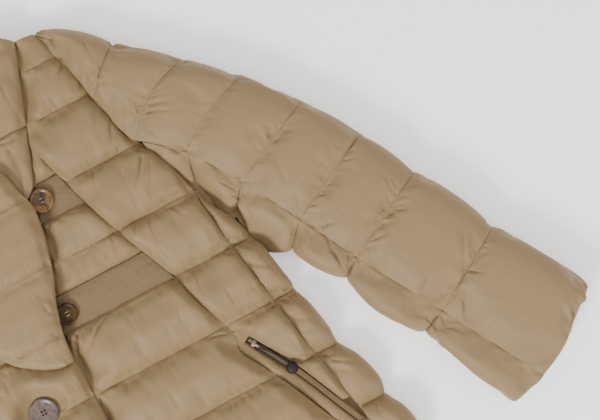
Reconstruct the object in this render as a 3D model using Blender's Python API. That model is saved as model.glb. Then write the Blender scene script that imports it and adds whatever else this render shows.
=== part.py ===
"""A long quilted down coat, laid flat on its back with both sleeves spread, as separate sewn pieces.

Row frame: +X to the wearer's left, +Y towards the collar, +Z up from the floor, in metres.
The pattern tables below are in millimetres, as a tailor writes them: `down` is the distance below
the neck point of the shoulder, and `across` the distance from the centre front towards the side.
"""

from collections import namedtuple
from math import cos, hypot, pi, radians, sin, sqrt

import bmesh
import bpy
from mathutils import Matrix, Vector

# ---------------------------------------------------------------- driving dimensions, in millimetres

MM = 0.001
HEM = 1090.0
COLLAR_TOP = -59.0
CENTRE_DOWN = (HEM + COLLAR_TOP) / 2

GAP = 0.3
LAID_GAP = 0.5
HIDDEN_GAP = 1.0
BACK_WALL = 12.0
FRONT_FLOOR = BACK_WALL + GAP
STITCH_WALL = 5.0
PRESSED_WALL = 8.0
LEFT_PRESSED = FRONT_FLOOR + PRESSED_WALL
OVERLAP_FLOOR = LEFT_PRESSED + GAP
RIGHT_PRESSED = OVERLAP_FLOOR + PRESSED_WALL
LAPEL_FLOOR = RIGHT_PRESSED + GAP

QUILT_PITCH = 67.3
QUILT_FIRST = 80.7
BODY_LOFT_SHARE = 0.26
SLEEVE_LOFT = 24.0
SIDE_LOFT = 15.0
LAPEL_LOFT = 13.0
FOLD_RADIUS = 12.0
BAFFLE_STATIONS = (0.0, 0.15, 0.5, 0.85)
PLAIN_STATIONS = (0.0, 0.22, 0.78)

FRONT_EDGE = 52.0
UNDERLAP = 25.0
BREAK_DOWN = 314.0
SIDE_TOP = 216.0
SIDE_UNDERSIDE = 40.0

POCKET_TOP = 369.0
POCKET_END = 512.0
POCKET_LAST = 470.0
ZIP_WIDTH = 8.0
WELT_WIDTH = 11.0
SLANT = 1.14
SEAM_HALF = 0.25
ZIP_ROOM = (ZIP_WIDTH / 2 + GAP) * SLANT
POCKET_ROOM = (ZIP_WIDTH / 2 + WELT_WIDTH + 2 * GAP) * SLANT
POCKET_STATIONS = (POCKET_TOP - 17, POCKET_TOP - 5, POCKET_END - 4, POCKET_END + 8)

BUTTON_PITCH = 1.5 * QUILT_PITCH
CLOTH_COLOUR = (0.42, 0.31, 0.20, 1)


# ---------------------------------------------------------------- seams and edges: (down, across)

Point = namedtuple("Point", "across down")


def edge(*rows):
    """A seam or an edge as rows of (down, across), in millimetres."""
    return rows


BODY_SIDE = edge((215, 237), (255, 254), (283, 267), (350, 281), (417, 294), (450, 303), (485, 312),
                 (553, 323), (620, 333), (755, 349), (HEM, 372))
ARMHOLE = edge((0, 166), (40, 180), (64, 187), (89, 191), (122, 199), (144, 207), (156, 217), (188, 228),
               (215, 236))
SIDE_SEAM = edge((215, 235), (275, 242), (338, 253), (407, 265), (444, 273), (488, 281), (512, 286),
                 (553, 294), (620, 306), (755, 323), (HEM, 346))
PRINCESS = edge((0, 80), (50, 95), (101, 113), (137, 122), (217, 150), (284, 178), (349, 200),
                (POCKET_TOP, 211), (424, 243), (494, 275), (POCKET_END, 284))
LEFT_NECKLINE = edge((60, 78), (95, 74), (149, 60), (200, 35), (250, 8), (BREAK_DOWN, -UNDERLAP),
                     (HEM, -UNDERLAP))
RIGHT_NECKLINE = edge((60, 78), (95, 70), (149, 45), (200, 10), (250, -20), (290, -42),
                      (BREAK_DOWN, -FRONT_EDGE), (HEM, -FRONT_EDGE))
# What lies on the left front: the left lapel, then the right lapel, then the right front's edge.
LEFT_COVER = edge((0, 147), (36, 134), (69, 122), (93, 113), (122, 103), (140, 97), (162, 88), (195, 81),
                  (225, 73), (248, 63), (272, 56), (296, 52), (BREAK_DOWN, FRONT_EDGE), (HEM, FRONT_EDGE))
LEFT_LAPEL_OUTER = edge((0, 147), (36, 134), (69, 122), (93, 113), (122, 103), (136, 98), (142, 88),
                        (150, 81), (175, 73), (225, 62), (255, 50), (270, 42))
LEFT_LAPEL_INNER = edge((0, 78), (36, 80), (69, 78), (93, 72), (122, 62), (150, 50), (200, 28), (225, 22),
                        (250, 27), (270, 37))
RIGHT_LAPEL_OUTER = edge((0, 147), (40, 137), (78, 124), (104, 114), (128, 104), (149, 97), (162, 91),
                         (195, 72), (225, 52), (248, 35), (272, 14), (290, -1), (304, -22), (312, -42))
RIGHT_LAPEL_INNER = edge((0, 78), (40, 25), (78, -40), (104, -75), (128, -79), (149, -86), (162, -88),
                         (195, -81), (225, -73), (248, -63), (272, -56), (290, -53), (304, -52), (312, -51))

# The sleeve's quilting lines: where each meets the outer fold, the front seam and the inner fold, and how
# far the channel above it swells past the straight line between its ends.
SleeveLine = namedtuple("SleeveLine", "outer_across outer_down seam_across seam_down bulge")
TOP_SLEEVE = (
    SleeveLine(173, 4, 169, 9, 0),
    SleeveLine(231, 49, 191, 88, 7),
    SleeveLine(287, 95, 208, 144, 3),
    SleeveLine(333, 137, 248, 177, 1.5),
    SleeveLine(373, 187, 281, 230, 0.5),
    SleeveLine(409, 243, 316, 290, 0.5),
    SleeveLine(438, 302, 347, 350, 2),
    SleeveLine(481, 387, 398, 437, 5),
    SleeveLine(539, 484, 456, 540, 4.5),
)
UnderLine = namedtuple("UnderLine", "seam_across seam_down inner_across inner_down bulge")
UNDER_SLEEVE = (
    UnderLine(219, 156, 238, 209, 0),
    UnderLine(248, 177, 244, 222, 2),
    UnderLine(281, 230, 264, 262, 2),
    UnderLine(316, 290, 295, 313, 5),
    UnderLine(347, 350, 330, 364, 6),
    UnderLine(398, 437, 374, 448, 11),
    UnderLine(456, 540, 418, 550, 4),
)
CUFF_SLIP = 8.0
CUFF_LINES = len(TOP_SLEEVE) - 1

# The standing collar behind the neck: its free edge and the neck seam, from the centre to the side.
CollarSection = namedtuple("CollarSection", "edge_across edge_down neck_across neck_down")
COLLAR = (
    CollarSection(0, COLLAR_TOP, 0, 10),
    CollarSection(40, -57, 22, 9),
    CollarSection(80, -48, 44, 7),
    CollarSection(115, -30, 62, 4),
    CollarSection(137, -11, 71, 1),
    CollarSection(147, 0, 78, 0),
)

ButtonPlace = namedtuple("ButtonPlace", "name across down radius floor finish")
BUTTON_COLOURS = {
    "button_amber": (0.14, 0.08, 0.03, 1),
    "button_brown": (0.055, 0.03, 0.01, 1),
    "button_grey": (0.30, 0.23, 0.18, 1),
}
BAND_LOFT = 2.0
BAND_WALL = 1.4
BAND_TOP = FRONT_FLOOR + STITCH_WALL + BAND_LOFT + LAID_GAP + BAND_WALL + GAP
FIRST_CLOSED_BUTTON = 341.0
CLOSED_BUTTONS = 5
DIMPLE = 17.0
DIMPLE_WALL = 4.0
BUTTONS = (
    ButtonPlace("button_1", 96.5, 153, 12.5, BAND_TOP, "button_amber"),
    ButtonPlace("button_2", 66, 265, 11, BAND_TOP, "button_brown"),
) + tuple(
    ButtonPlace(f"button_{3 + i}", 0, FIRST_CLOSED_BUTTON + i * BUTTON_PITCH, 15,
                OVERLAP_FLOOR + DIMPLE_WALL + GAP, "button_grey")
    for i in range(CLOSED_BUTTONS)
)
BUTTON_THICKNESS = 3.6

# Flat reinforcing bands behind the two buttons of the left front: (top, bottom) stitching lines.
BANDS = ((136.0, 176.0), (245.0, 284.0))


# ---------------------------------------------------------------- small helpers

def smooth(x):
    """0 below 0, 1 above 1, and an even ramp between."""
    x = min(1.0, max(0.0, x))
    return x * x * (3 - 2 * x)


def mix(a, b, share):
    return a + (b - a) * share


def across_at(rows, down):
    """Where a seam or an edge is at this height, along a smooth curve that never swings past its rows."""
    def slope(i):
        return (rows[i + 1][1] - rows[i][1]) / (rows[i + 1][0] - rows[i][0])

    def slope_between(i):
        if i == 0 or i == len(rows) - 1:
            return slope(min(i, len(rows) - 2))
        above, below = slope(i - 1), slope(i)
        return 2 * above * below / (above + below) if above * below > 0 else 0.0

    if down <= rows[0][0]:
        return float(rows[0][1])
    for i in range(len(rows) - 1):
        (d0, a0), (d1, a1) = rows[i], rows[i + 1]
        if down <= d1:
            slope0, slope1 = slope_between(i), slope_between(i + 1)
            step = d1 - d0
            s = (down - d0) / step
            return ((2 * s**3 - 3 * s**2 + 1) * a0 + (s**3 - 2 * s**2 + s) * step * slope0
                    + (3 * s**2 - 2 * s**3) * a1 + (s**3 - s**2) * step * slope1)
    return float(rows[-1][1])


def puff(share):
    """Height of a filled channel between two stitching lines, from 0 at a line to 1 at its crown."""
    return sin(pi * min(1.0, max(0.0, share))) ** 0.6


def to_row(across, down, z, side=1):
    """A point of the pattern in the row frame. side is 1 on the wearer's left and -1 on the right."""
    return Vector((side * across * MM, (CENTRE_DOWN - down) * MM, z * MM))


def finish(name, colour, roughness=0.55, metallic=0.0):
    """The material of this name, made the first time that a piece needs it."""
    material = bpy.data.materials.get(name) or bpy.data.materials.new(name)
    material.use_nodes = True
    shader = material.node_tree.nodes["Principled BSDF"]
    shader.inputs["Base Color"].default_value = colour
    shader.inputs["Roughness"].default_value = roughness
    shader.inputs["Metallic"].default_value = metallic
    return material


def add_object(name, bm, material):
    """Puts a finished bmesh in the scene with its faces pointing out."""
    bmesh.ops.recalc_face_normals(bm, faces=bm.faces)
    mesh = bpy.data.meshes.new(name)
    bm.to_mesh(mesh)
    bm.free()
    obj = bpy.data.objects.new(name, mesh)
    bpy.context.scene.collection.objects.link(obj)
    mesh.materials.append(material)
    mesh.shade_smooth()
    mesh.set_sharp_from_angle(angle=radians(40))
    return obj


def loft(name, rings, material, cap_parts=None):
    """A closed solid through cross-sections that all have the same number of points.

    cap_parts splits each end face into simpler outlines, as lists of places in the cross-section.
    """
    bm = bmesh.new()
    loops = [[bm.verts.new(point) for point in ring] for ring in rings]
    count = len(loops[0])
    for loop, following in zip(loops, loops[1:]):
        for i in range(count):
            j = (i + 1) % count
            bm.faces.new((loop[i], loop[j], following[j], following[i]))
    caps = []
    for part in cap_parts or [range(count)]:
        caps.append(bm.faces.new([loops[0][i] for i in part]))
        caps.append(bm.faces.new([loops[-1][i] for i in reversed(part)]))
    bmesh.ops.triangulate(bm, faces=caps)
    return add_object(name, bm, material)


def stations(lines, extra=(), shares=BAFFLE_STATIONS):
    """(down, share of its channel, the channel's width) for each cross-section of a quilted piece."""
    rows = []
    for top, bottom in zip(lines, lines[1:]):
        rows += [(mix(top, bottom, share), top, bottom) for share in shares]
    rows.append((lines[-1], lines[-2], lines[-1]))
    for down in extra:
        top = max(line for line in lines[:-1] if line <= down)
        bottom = lines[lines.index(top) + 1]
        near = [r for r in rows if abs(r[0] - down) < 5 and r[0] not in lines]
        rows = [r for r in rows if r not in near]
        if all(abs(r[0] - down) > 3 for r in rows):
            rows.append((down, top, bottom))
    return [(down, (down - top) / (bottom - top), bottom - top) for down, top, bottom in sorted(rows)]


def quilt_lines(start, end, others=()):
    """The body's level quilting lines between two heights, with other stitching lines added."""
    regular = [QUILT_FIRST + i * QUILT_PITCH for i in range(16)]
    free = [line for line in regular if all(abs(line - other) > 20 for other in others)]
    kept = [line for line in free if start + 12 < line < end - 12]
    return sorted([start, *kept, *others, end])


def edge_softness(distance, reach=16.0):
    """How far the filling has risen at this distance from a seam that closes the channel's end."""
    inside = min(1.0, max(0.0, distance / reach))
    return 0.25 + 0.75 * sqrt(1 - (1 - inside) ** 2)


# ---------------------------------------------------------------- back

def side_underside(down):
    """How far in from the coat's side edge the side piece ends underneath."""
    return mix(4, SIDE_UNDERSIDE, smooth((down - 215) / 68))


def make_back():
    """The back lies on the floor: flat below, plain inside, cut back where the side pieces fold under."""
    def half_width(down):
        if down < 215:
            return across_at(ARMHOLE, down) - HIDDEN_GAP
        return across_at(BODY_SIDE, down) - side_underside(down) - HIDDEN_GAP

    neck = [(section.neck_across, section.neck_down) for section in COLLAR]
    neck = [(-across, down) for across, down in neck[:0:-1]] + neck
    bm = bmesh.new()
    rows = []
    by_the_side = [down for down, _, _ in stations(quilt_lines(SIDE_TOP, 283), (), PLAIN_STATIONS)]
    lower = (350, 417, 450, 485, 553, 620, 755, HEM)
    for down in (0, 20, 40, 64, 89, 122, 144, 156, 172, 188, *by_the_side, *lower):
        half = half_width(down)
        points = [(-half, 0), *neck, (half, 0)]
        rows.append([bm.verts.new(to_row(across, down + (dip + GAP if down == 0 else 0), 0))
                     for across, dip in points])
    for row, following in zip(rows, rows[1:]):
        for i in range(len(row) - 1):
            bm.faces.new((row[i], row[i + 1], following[i + 1], following[i]))
    grown = bmesh.ops.extrude_face_region(bm, geom=bm.faces[:])["geom"]
    bmesh.ops.translate(bm, verts=[v for v in grown if isinstance(v, bmesh.types.BMVert)],
                        vec=(0, 0, BACK_WALL * MM))
    return add_object("back", bm, finish("shell_cloth", CLOTH_COLOUR))


# ---------------------------------------------------------------- fronts

def clear_of(across, cover):
    """0 under a layer whose edge is at cover and 1 well beyond it, where the filling has its full height."""
    return smooth((across - cover - 4) / 13)


def left_bands(down):
    return any(top < down < bottom for top, bottom in BANDS)


def left_front_top(across, down, share, width):
    """Height of the left front's outer side, pressed flat where the lapel and the right front lie on it."""
    loft_height = BAND_LOFT if left_bands(down) else BODY_LOFT_SHARE * width
    outer = main_outer(down)
    raised = FRONT_FLOOR + STITCH_WALL + loft_height * puff(share) * edge_softness(outer - across)
    pressed = FRONT_FLOOR + STITCH_WALL if left_bands(down) or down in sum(BANDS, ()) else LEFT_PRESSED
    return mix(pressed, raised, clear_of(across, across_at(LEFT_COVER, down)))


def side_seam(down):
    """The seam between the front and the side piece, from the armhole down."""
    return across_at(ARMHOLE if down < 215 else SIDE_SEAM, down)


def pocket_share(down):
    """1 along the pocket's opening, 0 well above and below it."""
    start, _, _, finish = POCKET_STATIONS
    return smooth((down - start) / 12) * smooth((finish - down) / 12)


def main_outer(down):
    """Outer edge of a main front: the princess seam, then the pocket, then the side seam."""
    joined = min(across_at(PRINCESS, down), side_seam(down)) if down < POCKET_END else side_seam(down)
    return joined - POCKET_ROOM * pocket_share(down) - SEAM_HALF


def left_columns(down):
    """Where the left front's cross-section has its points: its hidden edge, then closer near each seam."""
    outer = main_outer(down)
    start = min(across_at(LEFT_COVER, down), outer - 9)
    shares = (0.02, 0.09, 0.22, 0.5, 0.78, 0.93, 1.0)
    inner = min(across_at(LEFT_NECKLINE, down), start - 4)
    return [inner, start - 1.5] + [mix(start, outer, s) for s in shares]


def make_left_front():
    lines = quilt_lines(60, HEM, sum(BANDS, ()))
    rings = []
    for down, share, width in stations(lines, POCKET_STATIONS):
        columns = left_columns(down)
        top = [to_row(a, down, left_front_top(a, down, share, width)) for a in columns]
        bottom = [to_row(a, down, FRONT_FLOOR) for a in (columns[-1], columns[0])]
        rings.append(top + bottom)
    return loft("left_front", rings, finish("shell_cloth", CLOTH_COLOUR))


def make_band(number, lines):
    """A flat band of firm cloth on the left front, made from the panel's own points moved out."""
    top_line, bottom_line = lines
    rings = []
    for down, share, width in stations([top_line, bottom_line]):
        columns = left_columns(down)[1:]
        heights = [left_front_top(a, down, share, width) + LAID_GAP for a in columns]
        upper = [to_row(a, down, z + BAND_WALL) for a, z in zip(columns, heights)]
        lower = [to_row(a, down, z) for a, z in zip(columns, heights)]
        rings.append(upper + lower[::-1])
    return loft(f"button_band_{number}", rings, finish("band_cloth", (0.34, 0.25, 0.16, 1), 0.8))


def right_floor(across):
    """Underside of the right front: raised where it lies on the left front, and on the back beyond it."""
    return mix(OVERLAP_FLOOR, FRONT_FLOOR, smooth((across - UNDERLAP - 3) / 18))


def right_front_top(across, down, share, width):
    floor = mix(OVERLAP_FLOOR, FRONT_FLOOR, smooth((across - UNDERLAP + 10) / 45))
    softness = edge_softness(main_outer(down) - across) * edge_softness(across + FRONT_EDGE)
    raised = max(floor, right_floor(across)) + STITCH_WALL + BODY_LOFT_SHARE * width * puff(share) * softness
    for button in BUTTONS[2:]:
        near = max(abs(across), abs(down - button.down))
        raised = mix(OVERLAP_FLOOR + DIMPLE_WALL, raised, smooth((near - DIMPLE) / 14))
    if down > BREAK_DOWN:
        return raised
    return mix(RIGHT_PRESSED, raised, clear_of(across, across_at(RIGHT_LAPEL_OUTER, down - 4)))


def right_columns(down):
    inner = across_at(RIGHT_NECKLINE, down)
    outer = main_outer(down)
    if down < BREAK_DOWN:
        cover = min(across_at(RIGHT_LAPEL_OUTER, down), outer - 9)
        hidden = [mix(inner, cover, s) for s in (0, 0.3, 0.6, 0.9)]
        return hidden + [mix(cover, outer, s) for s in (0.02, 0.09, 0.22, 0.5, 0.78, 0.93, 1.0)]
    return [inner, -FRONT_EDGE + 5, -DIMPLE - 14, -DIMPLE, DIMPLE, DIMPLE + 14] + [
        mix(DIMPLE + 14, outer, s) for s in (0.2, 0.5, 0.78, 0.93, 1.0)
    ]


def make_right_front():
    lines = quilt_lines(60, HEM, ())
    edges = [b.down + s * DIMPLE for b in BUTTONS[2:] for s in (-1, 1)]
    rings = []
    corner = (298, 304, 310, BREAK_DOWN + 1)
    for down, share, width in stations(lines, [*edges, *corner, *POCKET_STATIONS]):
        columns = right_columns(down)
        top = [to_row(a, down, right_front_top(a, down, share, width), -1) for a in columns]
        under = [columns[-1], UNDERLAP + 21, UNDERLAP + 12, UNDERLAP + 3, columns[0]]
        if columns[-1] < UNDERLAP + 22 or columns[0] > UNDERLAP + 2:
            under = [mix(columns[-1], columns[0], s) for s in (0, 0.25, 0.5, 0.75, 1)]
        bottom = [to_row(a, down, right_floor(a), -1) for a in under]
        rings.append(top + bottom)
    return loft("right_front", rings, finish("shell_cloth", CLOTH_COLOUR))


def make_front_side(name, side, cover_edge, pressed):
    """The piece from shoulder and armhole down to the hip, between the princess seam and the side seam."""
    lines = quilt_lines(0.6, POCKET_LAST, (32,))
    rings = []
    for down, share, width in stations(lines, (100, *POCKET_STATIONS[:2])):
        inner = across_at(PRINCESS, down) + SEAM_HALF + ZIP_ROOM * pocket_share(down)
        outer = side_seam(down) - SEAM_HALF
        cover = across_at(cover_edge, down)
        start = min(max(cover, inner + 1), outer - 5)
        top = []
        for a in [inner, start] + [mix(start, outer, s) for s in (0.1, 0.25, 0.5, 0.8, 0.94, 1.0)]:
            reach = min(16.0, 0.45 * (outer - inner))
            soft = edge_softness(a - inner, reach) * edge_softness(outer - a, reach)
            raised = FRONT_FLOOR + STITCH_WALL + BODY_LOFT_SHARE * width * puff(share) * soft
            top.append(to_row(a, down, mix(pressed, raised, clear_of(a, cover)), side))
        bottom = [to_row(a, down, FRONT_FLOOR, side) for a in (outer, inner)]
        rings.append(top + bottom)
    return loft(name, rings, finish("shell_cloth", CLOTH_COLOUR))


# ---------------------------------------------------------------- folded pieces: sides and sleeves

FOLD_CAPS = ((0, 1, 2, 3, 4, 5, 6, 7, 8, 13), (8, 9, 10, 11, 12, 13))


def folded_section(seam, fold, end, loft_height, share, seam_softness, side):
    """A wall that runs from a seam on top, round a fold and back along the floor, as one closed section."""
    run = hypot(fold.across - seam.across, fold.down - seam.down)
    ux, uy = (fold.across - seam.across) / run, (fold.down - seam.down) / run

    def place(q, z):
        return to_row(seam.across + ux * q, seam.down + uy * q, z, side)

    crown = loft_height * puff(share)
    wall_top = FRONT_FLOOR + STITCH_WALL
    middle = 0.45 * (wall_top + crown)
    radius = min(FOLD_RADIUS, 0.45 * run)
    shoulder = max(0.6 * run, run - 2.2 * FOLD_RADIUS)
    points = [place(0, FRONT_FLOOR), place(0, wall_top + seam_softness * crown)]
    for q in (0.08, 0.24, 0.5):
        rise = seam_softness + (1 - seam_softness) * sin(pi / 2 * min(1.0, q / 0.45))
        points.append(place(q * shoulder / 0.5, wall_top + crown * rise))
    for turn in (0.55, 0.85):
        q = mix(shoulder, run, turn)
        points.append(place(q, middle + (wall_top + crown - middle) * sqrt(1 - turn**2)))
    points += [place(run, middle), place(run - 0.25 * radius, 0.35 * middle), place(run - radius, 0)]
    points += [to_row(end.across, end.down, 0, side), to_row(end.across, end.down, BACK_WALL, side)]
    slit = run - max(radius, 3.0)
    points += [place(slit, BACK_WALL), place(slit + 0.3, FRONT_FLOOR)]
    return points


def make_side(name, side):
    """The side piece joins the front at the side seam and folds under to the back."""
    rings = []
    for down, share, _ in stations(quilt_lines(SIDE_TOP, HEM), POCKET_STATIONS[2:], PLAIN_STATIONS):
        edge_line = across_at(BODY_SIDE, down)
        ramp = smooth((down - 215) / 68)
        past_pocket = across_at(PRINCESS, down) + ZIP_ROOM + SEAM_HALF
        if not POCKET_LAST < down < POCKET_STATIONS[-1] + 1:
            past_pocket = 0
        seam = Point(max(side_seam(down), past_pocket) + SEAM_HALF, down)
        fold = Point(max(edge_line - 3 + 5 * puff(share), seam.across + 3), down)
        end = Point(edge_line - side_underside(down), down)
        rings.append(folded_section(seam, fold, end, SIDE_LOFT * mix(0.4, 1, ramp), share, 0.3, side))
    return loft(name, rings, finish("shell_cloth", CLOTH_COLOUR), FOLD_CAPS)


def sleeve_stations(lines):
    """(line before, line after, share) for each cross-section of a sleeve piece."""
    rows = [(lines[i], lines[i + 1], share) for i in range(len(lines) - 1) for share in BAFFLE_STATIONS]
    return rows + [(lines[-2], lines[-1], 1.0)]


def back_seam_share(position):
    """How far the sleeve's back seam lies in from the front seam, as a share of the top sleeve's width."""
    return 0.5 * smooth((position - 2) / 2)


def slip_cuff(ring, side):
    """Slides the cuff's floor layer out from under its top layer, so that its mouth shows."""
    sleeve_run = to_row(456, 540, 0, side) - to_row(398, 437, 0, side)
    floor_layer = FOLD_CAPS[1][1:-1]
    for i in floor_layer:
        ring[i] = ring[i] + sleeve_run.normalized() * CUFF_SLIP * MM


def make_top_sleeve(name, side):
    rings = []
    for number, (before, after, share) in enumerate(sleeve_stations(TOP_SLEEVE)):
        line = SleeveLine(*(mix(a, b, share) for a, b in zip(before, after)))
        position = number / len(BAFFLE_STATIONS)
        armhole = across_at(ARMHOLE, line.seam_down) + GAP if line.seam_down < 150 else 0
        seam = Point(max(line.seam_across, armhole), line.seam_down)
        along = Point(line.outer_across - seam.across, line.outer_down - seam.down)
        run = hypot(*along)
        bulge = 1 + after.bulge * puff(share) / run
        fold = Point(seam.across + along.across * bulge, seam.down + along.down * bulge)
        back = back_seam_share(position)
        end = Point(mix(seam.across, fold.across, back), mix(seam.down, fold.down, back))
        shift = GAP / run
        seam = Point(mix(seam.across, fold.across, shift), mix(seam.down, fold.down, shift))
        end = Point(mix(end.across, fold.across, shift), mix(end.down, fold.down, shift))
        height = SLEEVE_LOFT * smooth(0.25 + 0.75 * position)
        rings.append(folded_section(seam, fold, end, height, share, 0.4, side))
    slip_cuff(rings[-1], side)
    return loft(name, rings, finish("shell_cloth", CLOTH_COLOUR), FOLD_CAPS)


def make_under_sleeve(name, side):
    first = len(TOP_SLEEVE) - len(UNDER_SLEEVE)
    rings = []
    for number, (before, after, share) in enumerate(sleeve_stations(UNDER_SLEEVE)):
        line = UnderLine(*(mix(a, b, share) for a, b in zip(before, after)))
        position = number / len(BAFFLE_STATIONS)
        seam = Point(line.seam_across, line.seam_down)
        along = Point(line.inner_across - seam.across, line.inner_down - seam.down)
        run = hypot(*along)
        bulge = 1 + after.bulge * puff(share) / run
        fold = Point(seam.across + along.across * bulge, seam.down + along.down * bulge)
        top_index = min(first + position, CUFF_LINES)
        low = min(int(top_index), CUFF_LINES - 1)
        outer_across = mix(TOP_SLEEVE[low].outer_across, TOP_SLEEVE[low + 1].outer_across, top_index - low)
        outer_down = mix(TOP_SLEEVE[low].outer_down, TOP_SLEEVE[low + 1].outer_down, top_index - low)
        back = back_seam_share(top_index)
        end = Point(mix(seam.across, outer_across, back), mix(seam.down, outer_down, back))
        shift = GAP / run
        seam = Point(mix(seam.across, fold.across, shift), mix(seam.down, fold.down, shift))
        end = Point(mix(end.across, fold.across, shift), mix(end.down, fold.down, shift))
        height = 0.8 * SLEEVE_LOFT * mix(0.4, 1.0, smooth(position / 2))
        rings.append(folded_section(seam, fold, end, height, share, 0.45, side))
    slip_cuff(rings[-1], side)
    return loft(name, rings, finish("shell_cloth", CLOTH_COLOUR), FOLD_CAPS)


# ---------------------------------------------------------------- collar and lapels

def make_lapel(name, side, edges, floor, end, pressed):
    """A lapel lies flat on what is under it. pressed gives how far another layer flattens it, from 0 to 1."""
    lines = quilt_lines(2 * GAP, end)
    rings = []
    for down, share, width in stations(lines):
        inner, outer = (across_at(rows, down) for rows in edges)
        outer = max(outer, inner + 4)
        top = []
        for s in (0, 0.05, 0.2, 0.5, 0.8, 0.95, 1):
            a = mix(inner, outer, s)
            reach = min(18.0, 0.4 * (outer - inner))
            soft = edge_softness(a - inner, reach) * edge_softness(outer - a, reach)
            raised = floor + STITCH_WALL + LAPEL_LOFT * width / QUILT_PITCH * puff(share) * soft
            top.append(to_row(a, down, mix(raised, floor + PRESSED_WALL, pressed(a, down)), side))
        bottom = [to_row(a, down, floor, side) for a in (outer, inner)]
        rings.append(top + bottom)
    return loft(name, rings, finish("shell_cloth", CLOTH_COLOUR))


def make_left_lapel():
    def under_right_lapel(across, down):
        return 1 - smooth((across + across_at(RIGHT_LAPEL_INNER, down + 12) - 9) / 13)

    return make_lapel("left_lapel", 1, (LEFT_LAPEL_INNER, LEFT_LAPEL_OUTER), OVERLAP_FLOOR, 270,
                      under_right_lapel)


def make_right_lapel():
    return make_lapel("right_lapel", -1, (RIGHT_LAPEL_INNER, RIGHT_LAPEL_OUTER), LAPEL_FLOOR, 310,
                      lambda across, down: 0)


def make_collar():
    """The collar behind the neck, between the shoulder ends of the two lapels."""
    sections = [CollarSection(-edge_across, edge_down, -neck_across, neck_down)
                for edge_across, edge_down, neck_across, neck_down in COLLAR[:0:-1]]
    sections += COLLAR
    rings = []
    for before, after in zip(sections, sections[1:]):
        for share in (0.0, 0.25, 0.75):
            rings.append((CollarSection(*(mix(a, b, share) for a, b in zip(before, after))), share))
    rings.append((sections[-1], 0.0))
    solids = []
    for section, share in rings:
        top, bottom = [], []
        for s in (0, 0.08, 0.3, 0.6, 0.9, 1):
            across = mix(section.edge_across, section.neck_across, s)
            down = mix(section.edge_down, section.neck_down, s)
            soft = edge_softness(s, 0.3) * edge_softness(1 - s, 0.3)
            end = smooth((147 - abs(section.edge_across)) / 25)
            top.append(to_row(across, down, mix(30, 16, end) + 14 * puff(share) * soft))
            bottom.append(to_row(across, down, 0))
        solids.append(top + bottom[::-1])
    return loft("collar", solids, finish("shell_cloth", CLOTH_COLOUR))


# ---------------------------------------------------------------- pockets

def pocket_line(side):
    """The pocket's start and its direction down the zip, in the row frame."""
    start = to_row(across_at(PRINCESS, POCKET_TOP), POCKET_TOP, 0, side)
    lower = POCKET_TOP + PULL_LENGTH
    finish = to_row(across_at(PRINCESS, lower), lower, 0, side)
    return start, (finish - start).normalized()


def strip(name, side, offsets, heights, length_range, material, crown=0.0):
    """A narrow strip beside the zip, following the pocket's opening."""
    rings = []
    low, high = offsets
    floor, top = heights
    first, last = length_range
    for i in range(7):
        down = mix(first, last, i / 6)
        centre = across_at(PRINCESS, down)
        step = 0.5
        slope = (across_at(PRINCESS, down + step) - across_at(PRINCESS, down - step)) / (2 * step)
        lean = sqrt(1 + slope * slope)
        ring = []
        for share, z in ((0, top), (0.3, top + crown), (0.7, top + crown), (1, top), (1, floor), (0, floor)):
            offset = mix(low, high, share) / lean
            ring.append(to_row(centre + offset, down - offset * slope / lean, z, side))
        rings.append(ring)
    return loft(name, rings, material)


def block(name, centre, size, turn, material):
    """A block of this size in millimetres, turned by a rotation matrix about its own centre."""
    bm = bmesh.new()
    bmesh.ops.create_cube(bm, size=MM)
    bmesh.ops.transform(bm, verts=bm.verts,
                        matrix=Matrix.Translation(centre) @ turn.to_4x4() @ Matrix.Diagonal((*size, 1)))
    return add_object(name, bm, material)


def combine(obj, guide, operation):
    """Joins a guide to an object, or cuts it away, and leaves the guide out of the part."""
    guide.hide_render = True
    guide.display_type = "WIRE"
    modifier = obj.modifiers.new(guide.name, "BOOLEAN")
    modifier.operation = operation
    modifier.object = guide


def make_slider(name, side):
    """The slider's body, with the arch on it that holds its pull."""
    start, along = pocket_line(side)
    up = Vector((0, 0, 1))
    turn = Matrix((along, up.cross(along), up)).transposed()
    metal = finish("slider_metal", (0.55, 0.47, 0.42, 1), 0.35, 1.0)
    centre = start + along * SLIDER_AT * MM
    pivot = centre + up * PULL_AXIS * MM
    body = block(name, centre + up * (ZIP_TOP + GAP + SLIDER_HEIGHT / 2) * MM,
                 (SLIDER_LENGTH, ZIP_WIDTH - 1, SLIDER_HEIGHT), turn, metal)
    bevel = body.modifiers.new("rounded", "BEVEL")
    bevel.width = 0.8 * MM
    bevel.segments = 1
    arch_base, arch_top = -SLIDER_HEIGHT / 2 - ARCH_OPENING, ARCH_OPENING + ARCH_WALL
    arch = block(name + "_arch", pivot + up * (arch_base + arch_top) / 2 * MM,
                 (2 * (ARCH_OPENING + ARCH_WALL), ARCH_WIDTH, arch_top - arch_base), turn, metal)
    window = block(name + "_window", pivot, (2 * ARCH_OPENING, 2 * ARCH_WIDTH, 2 * ARCH_OPENING), turn, metal)
    combine(body, arch, "UNION")
    combine(body, window, "DIFFERENCE")


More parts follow.
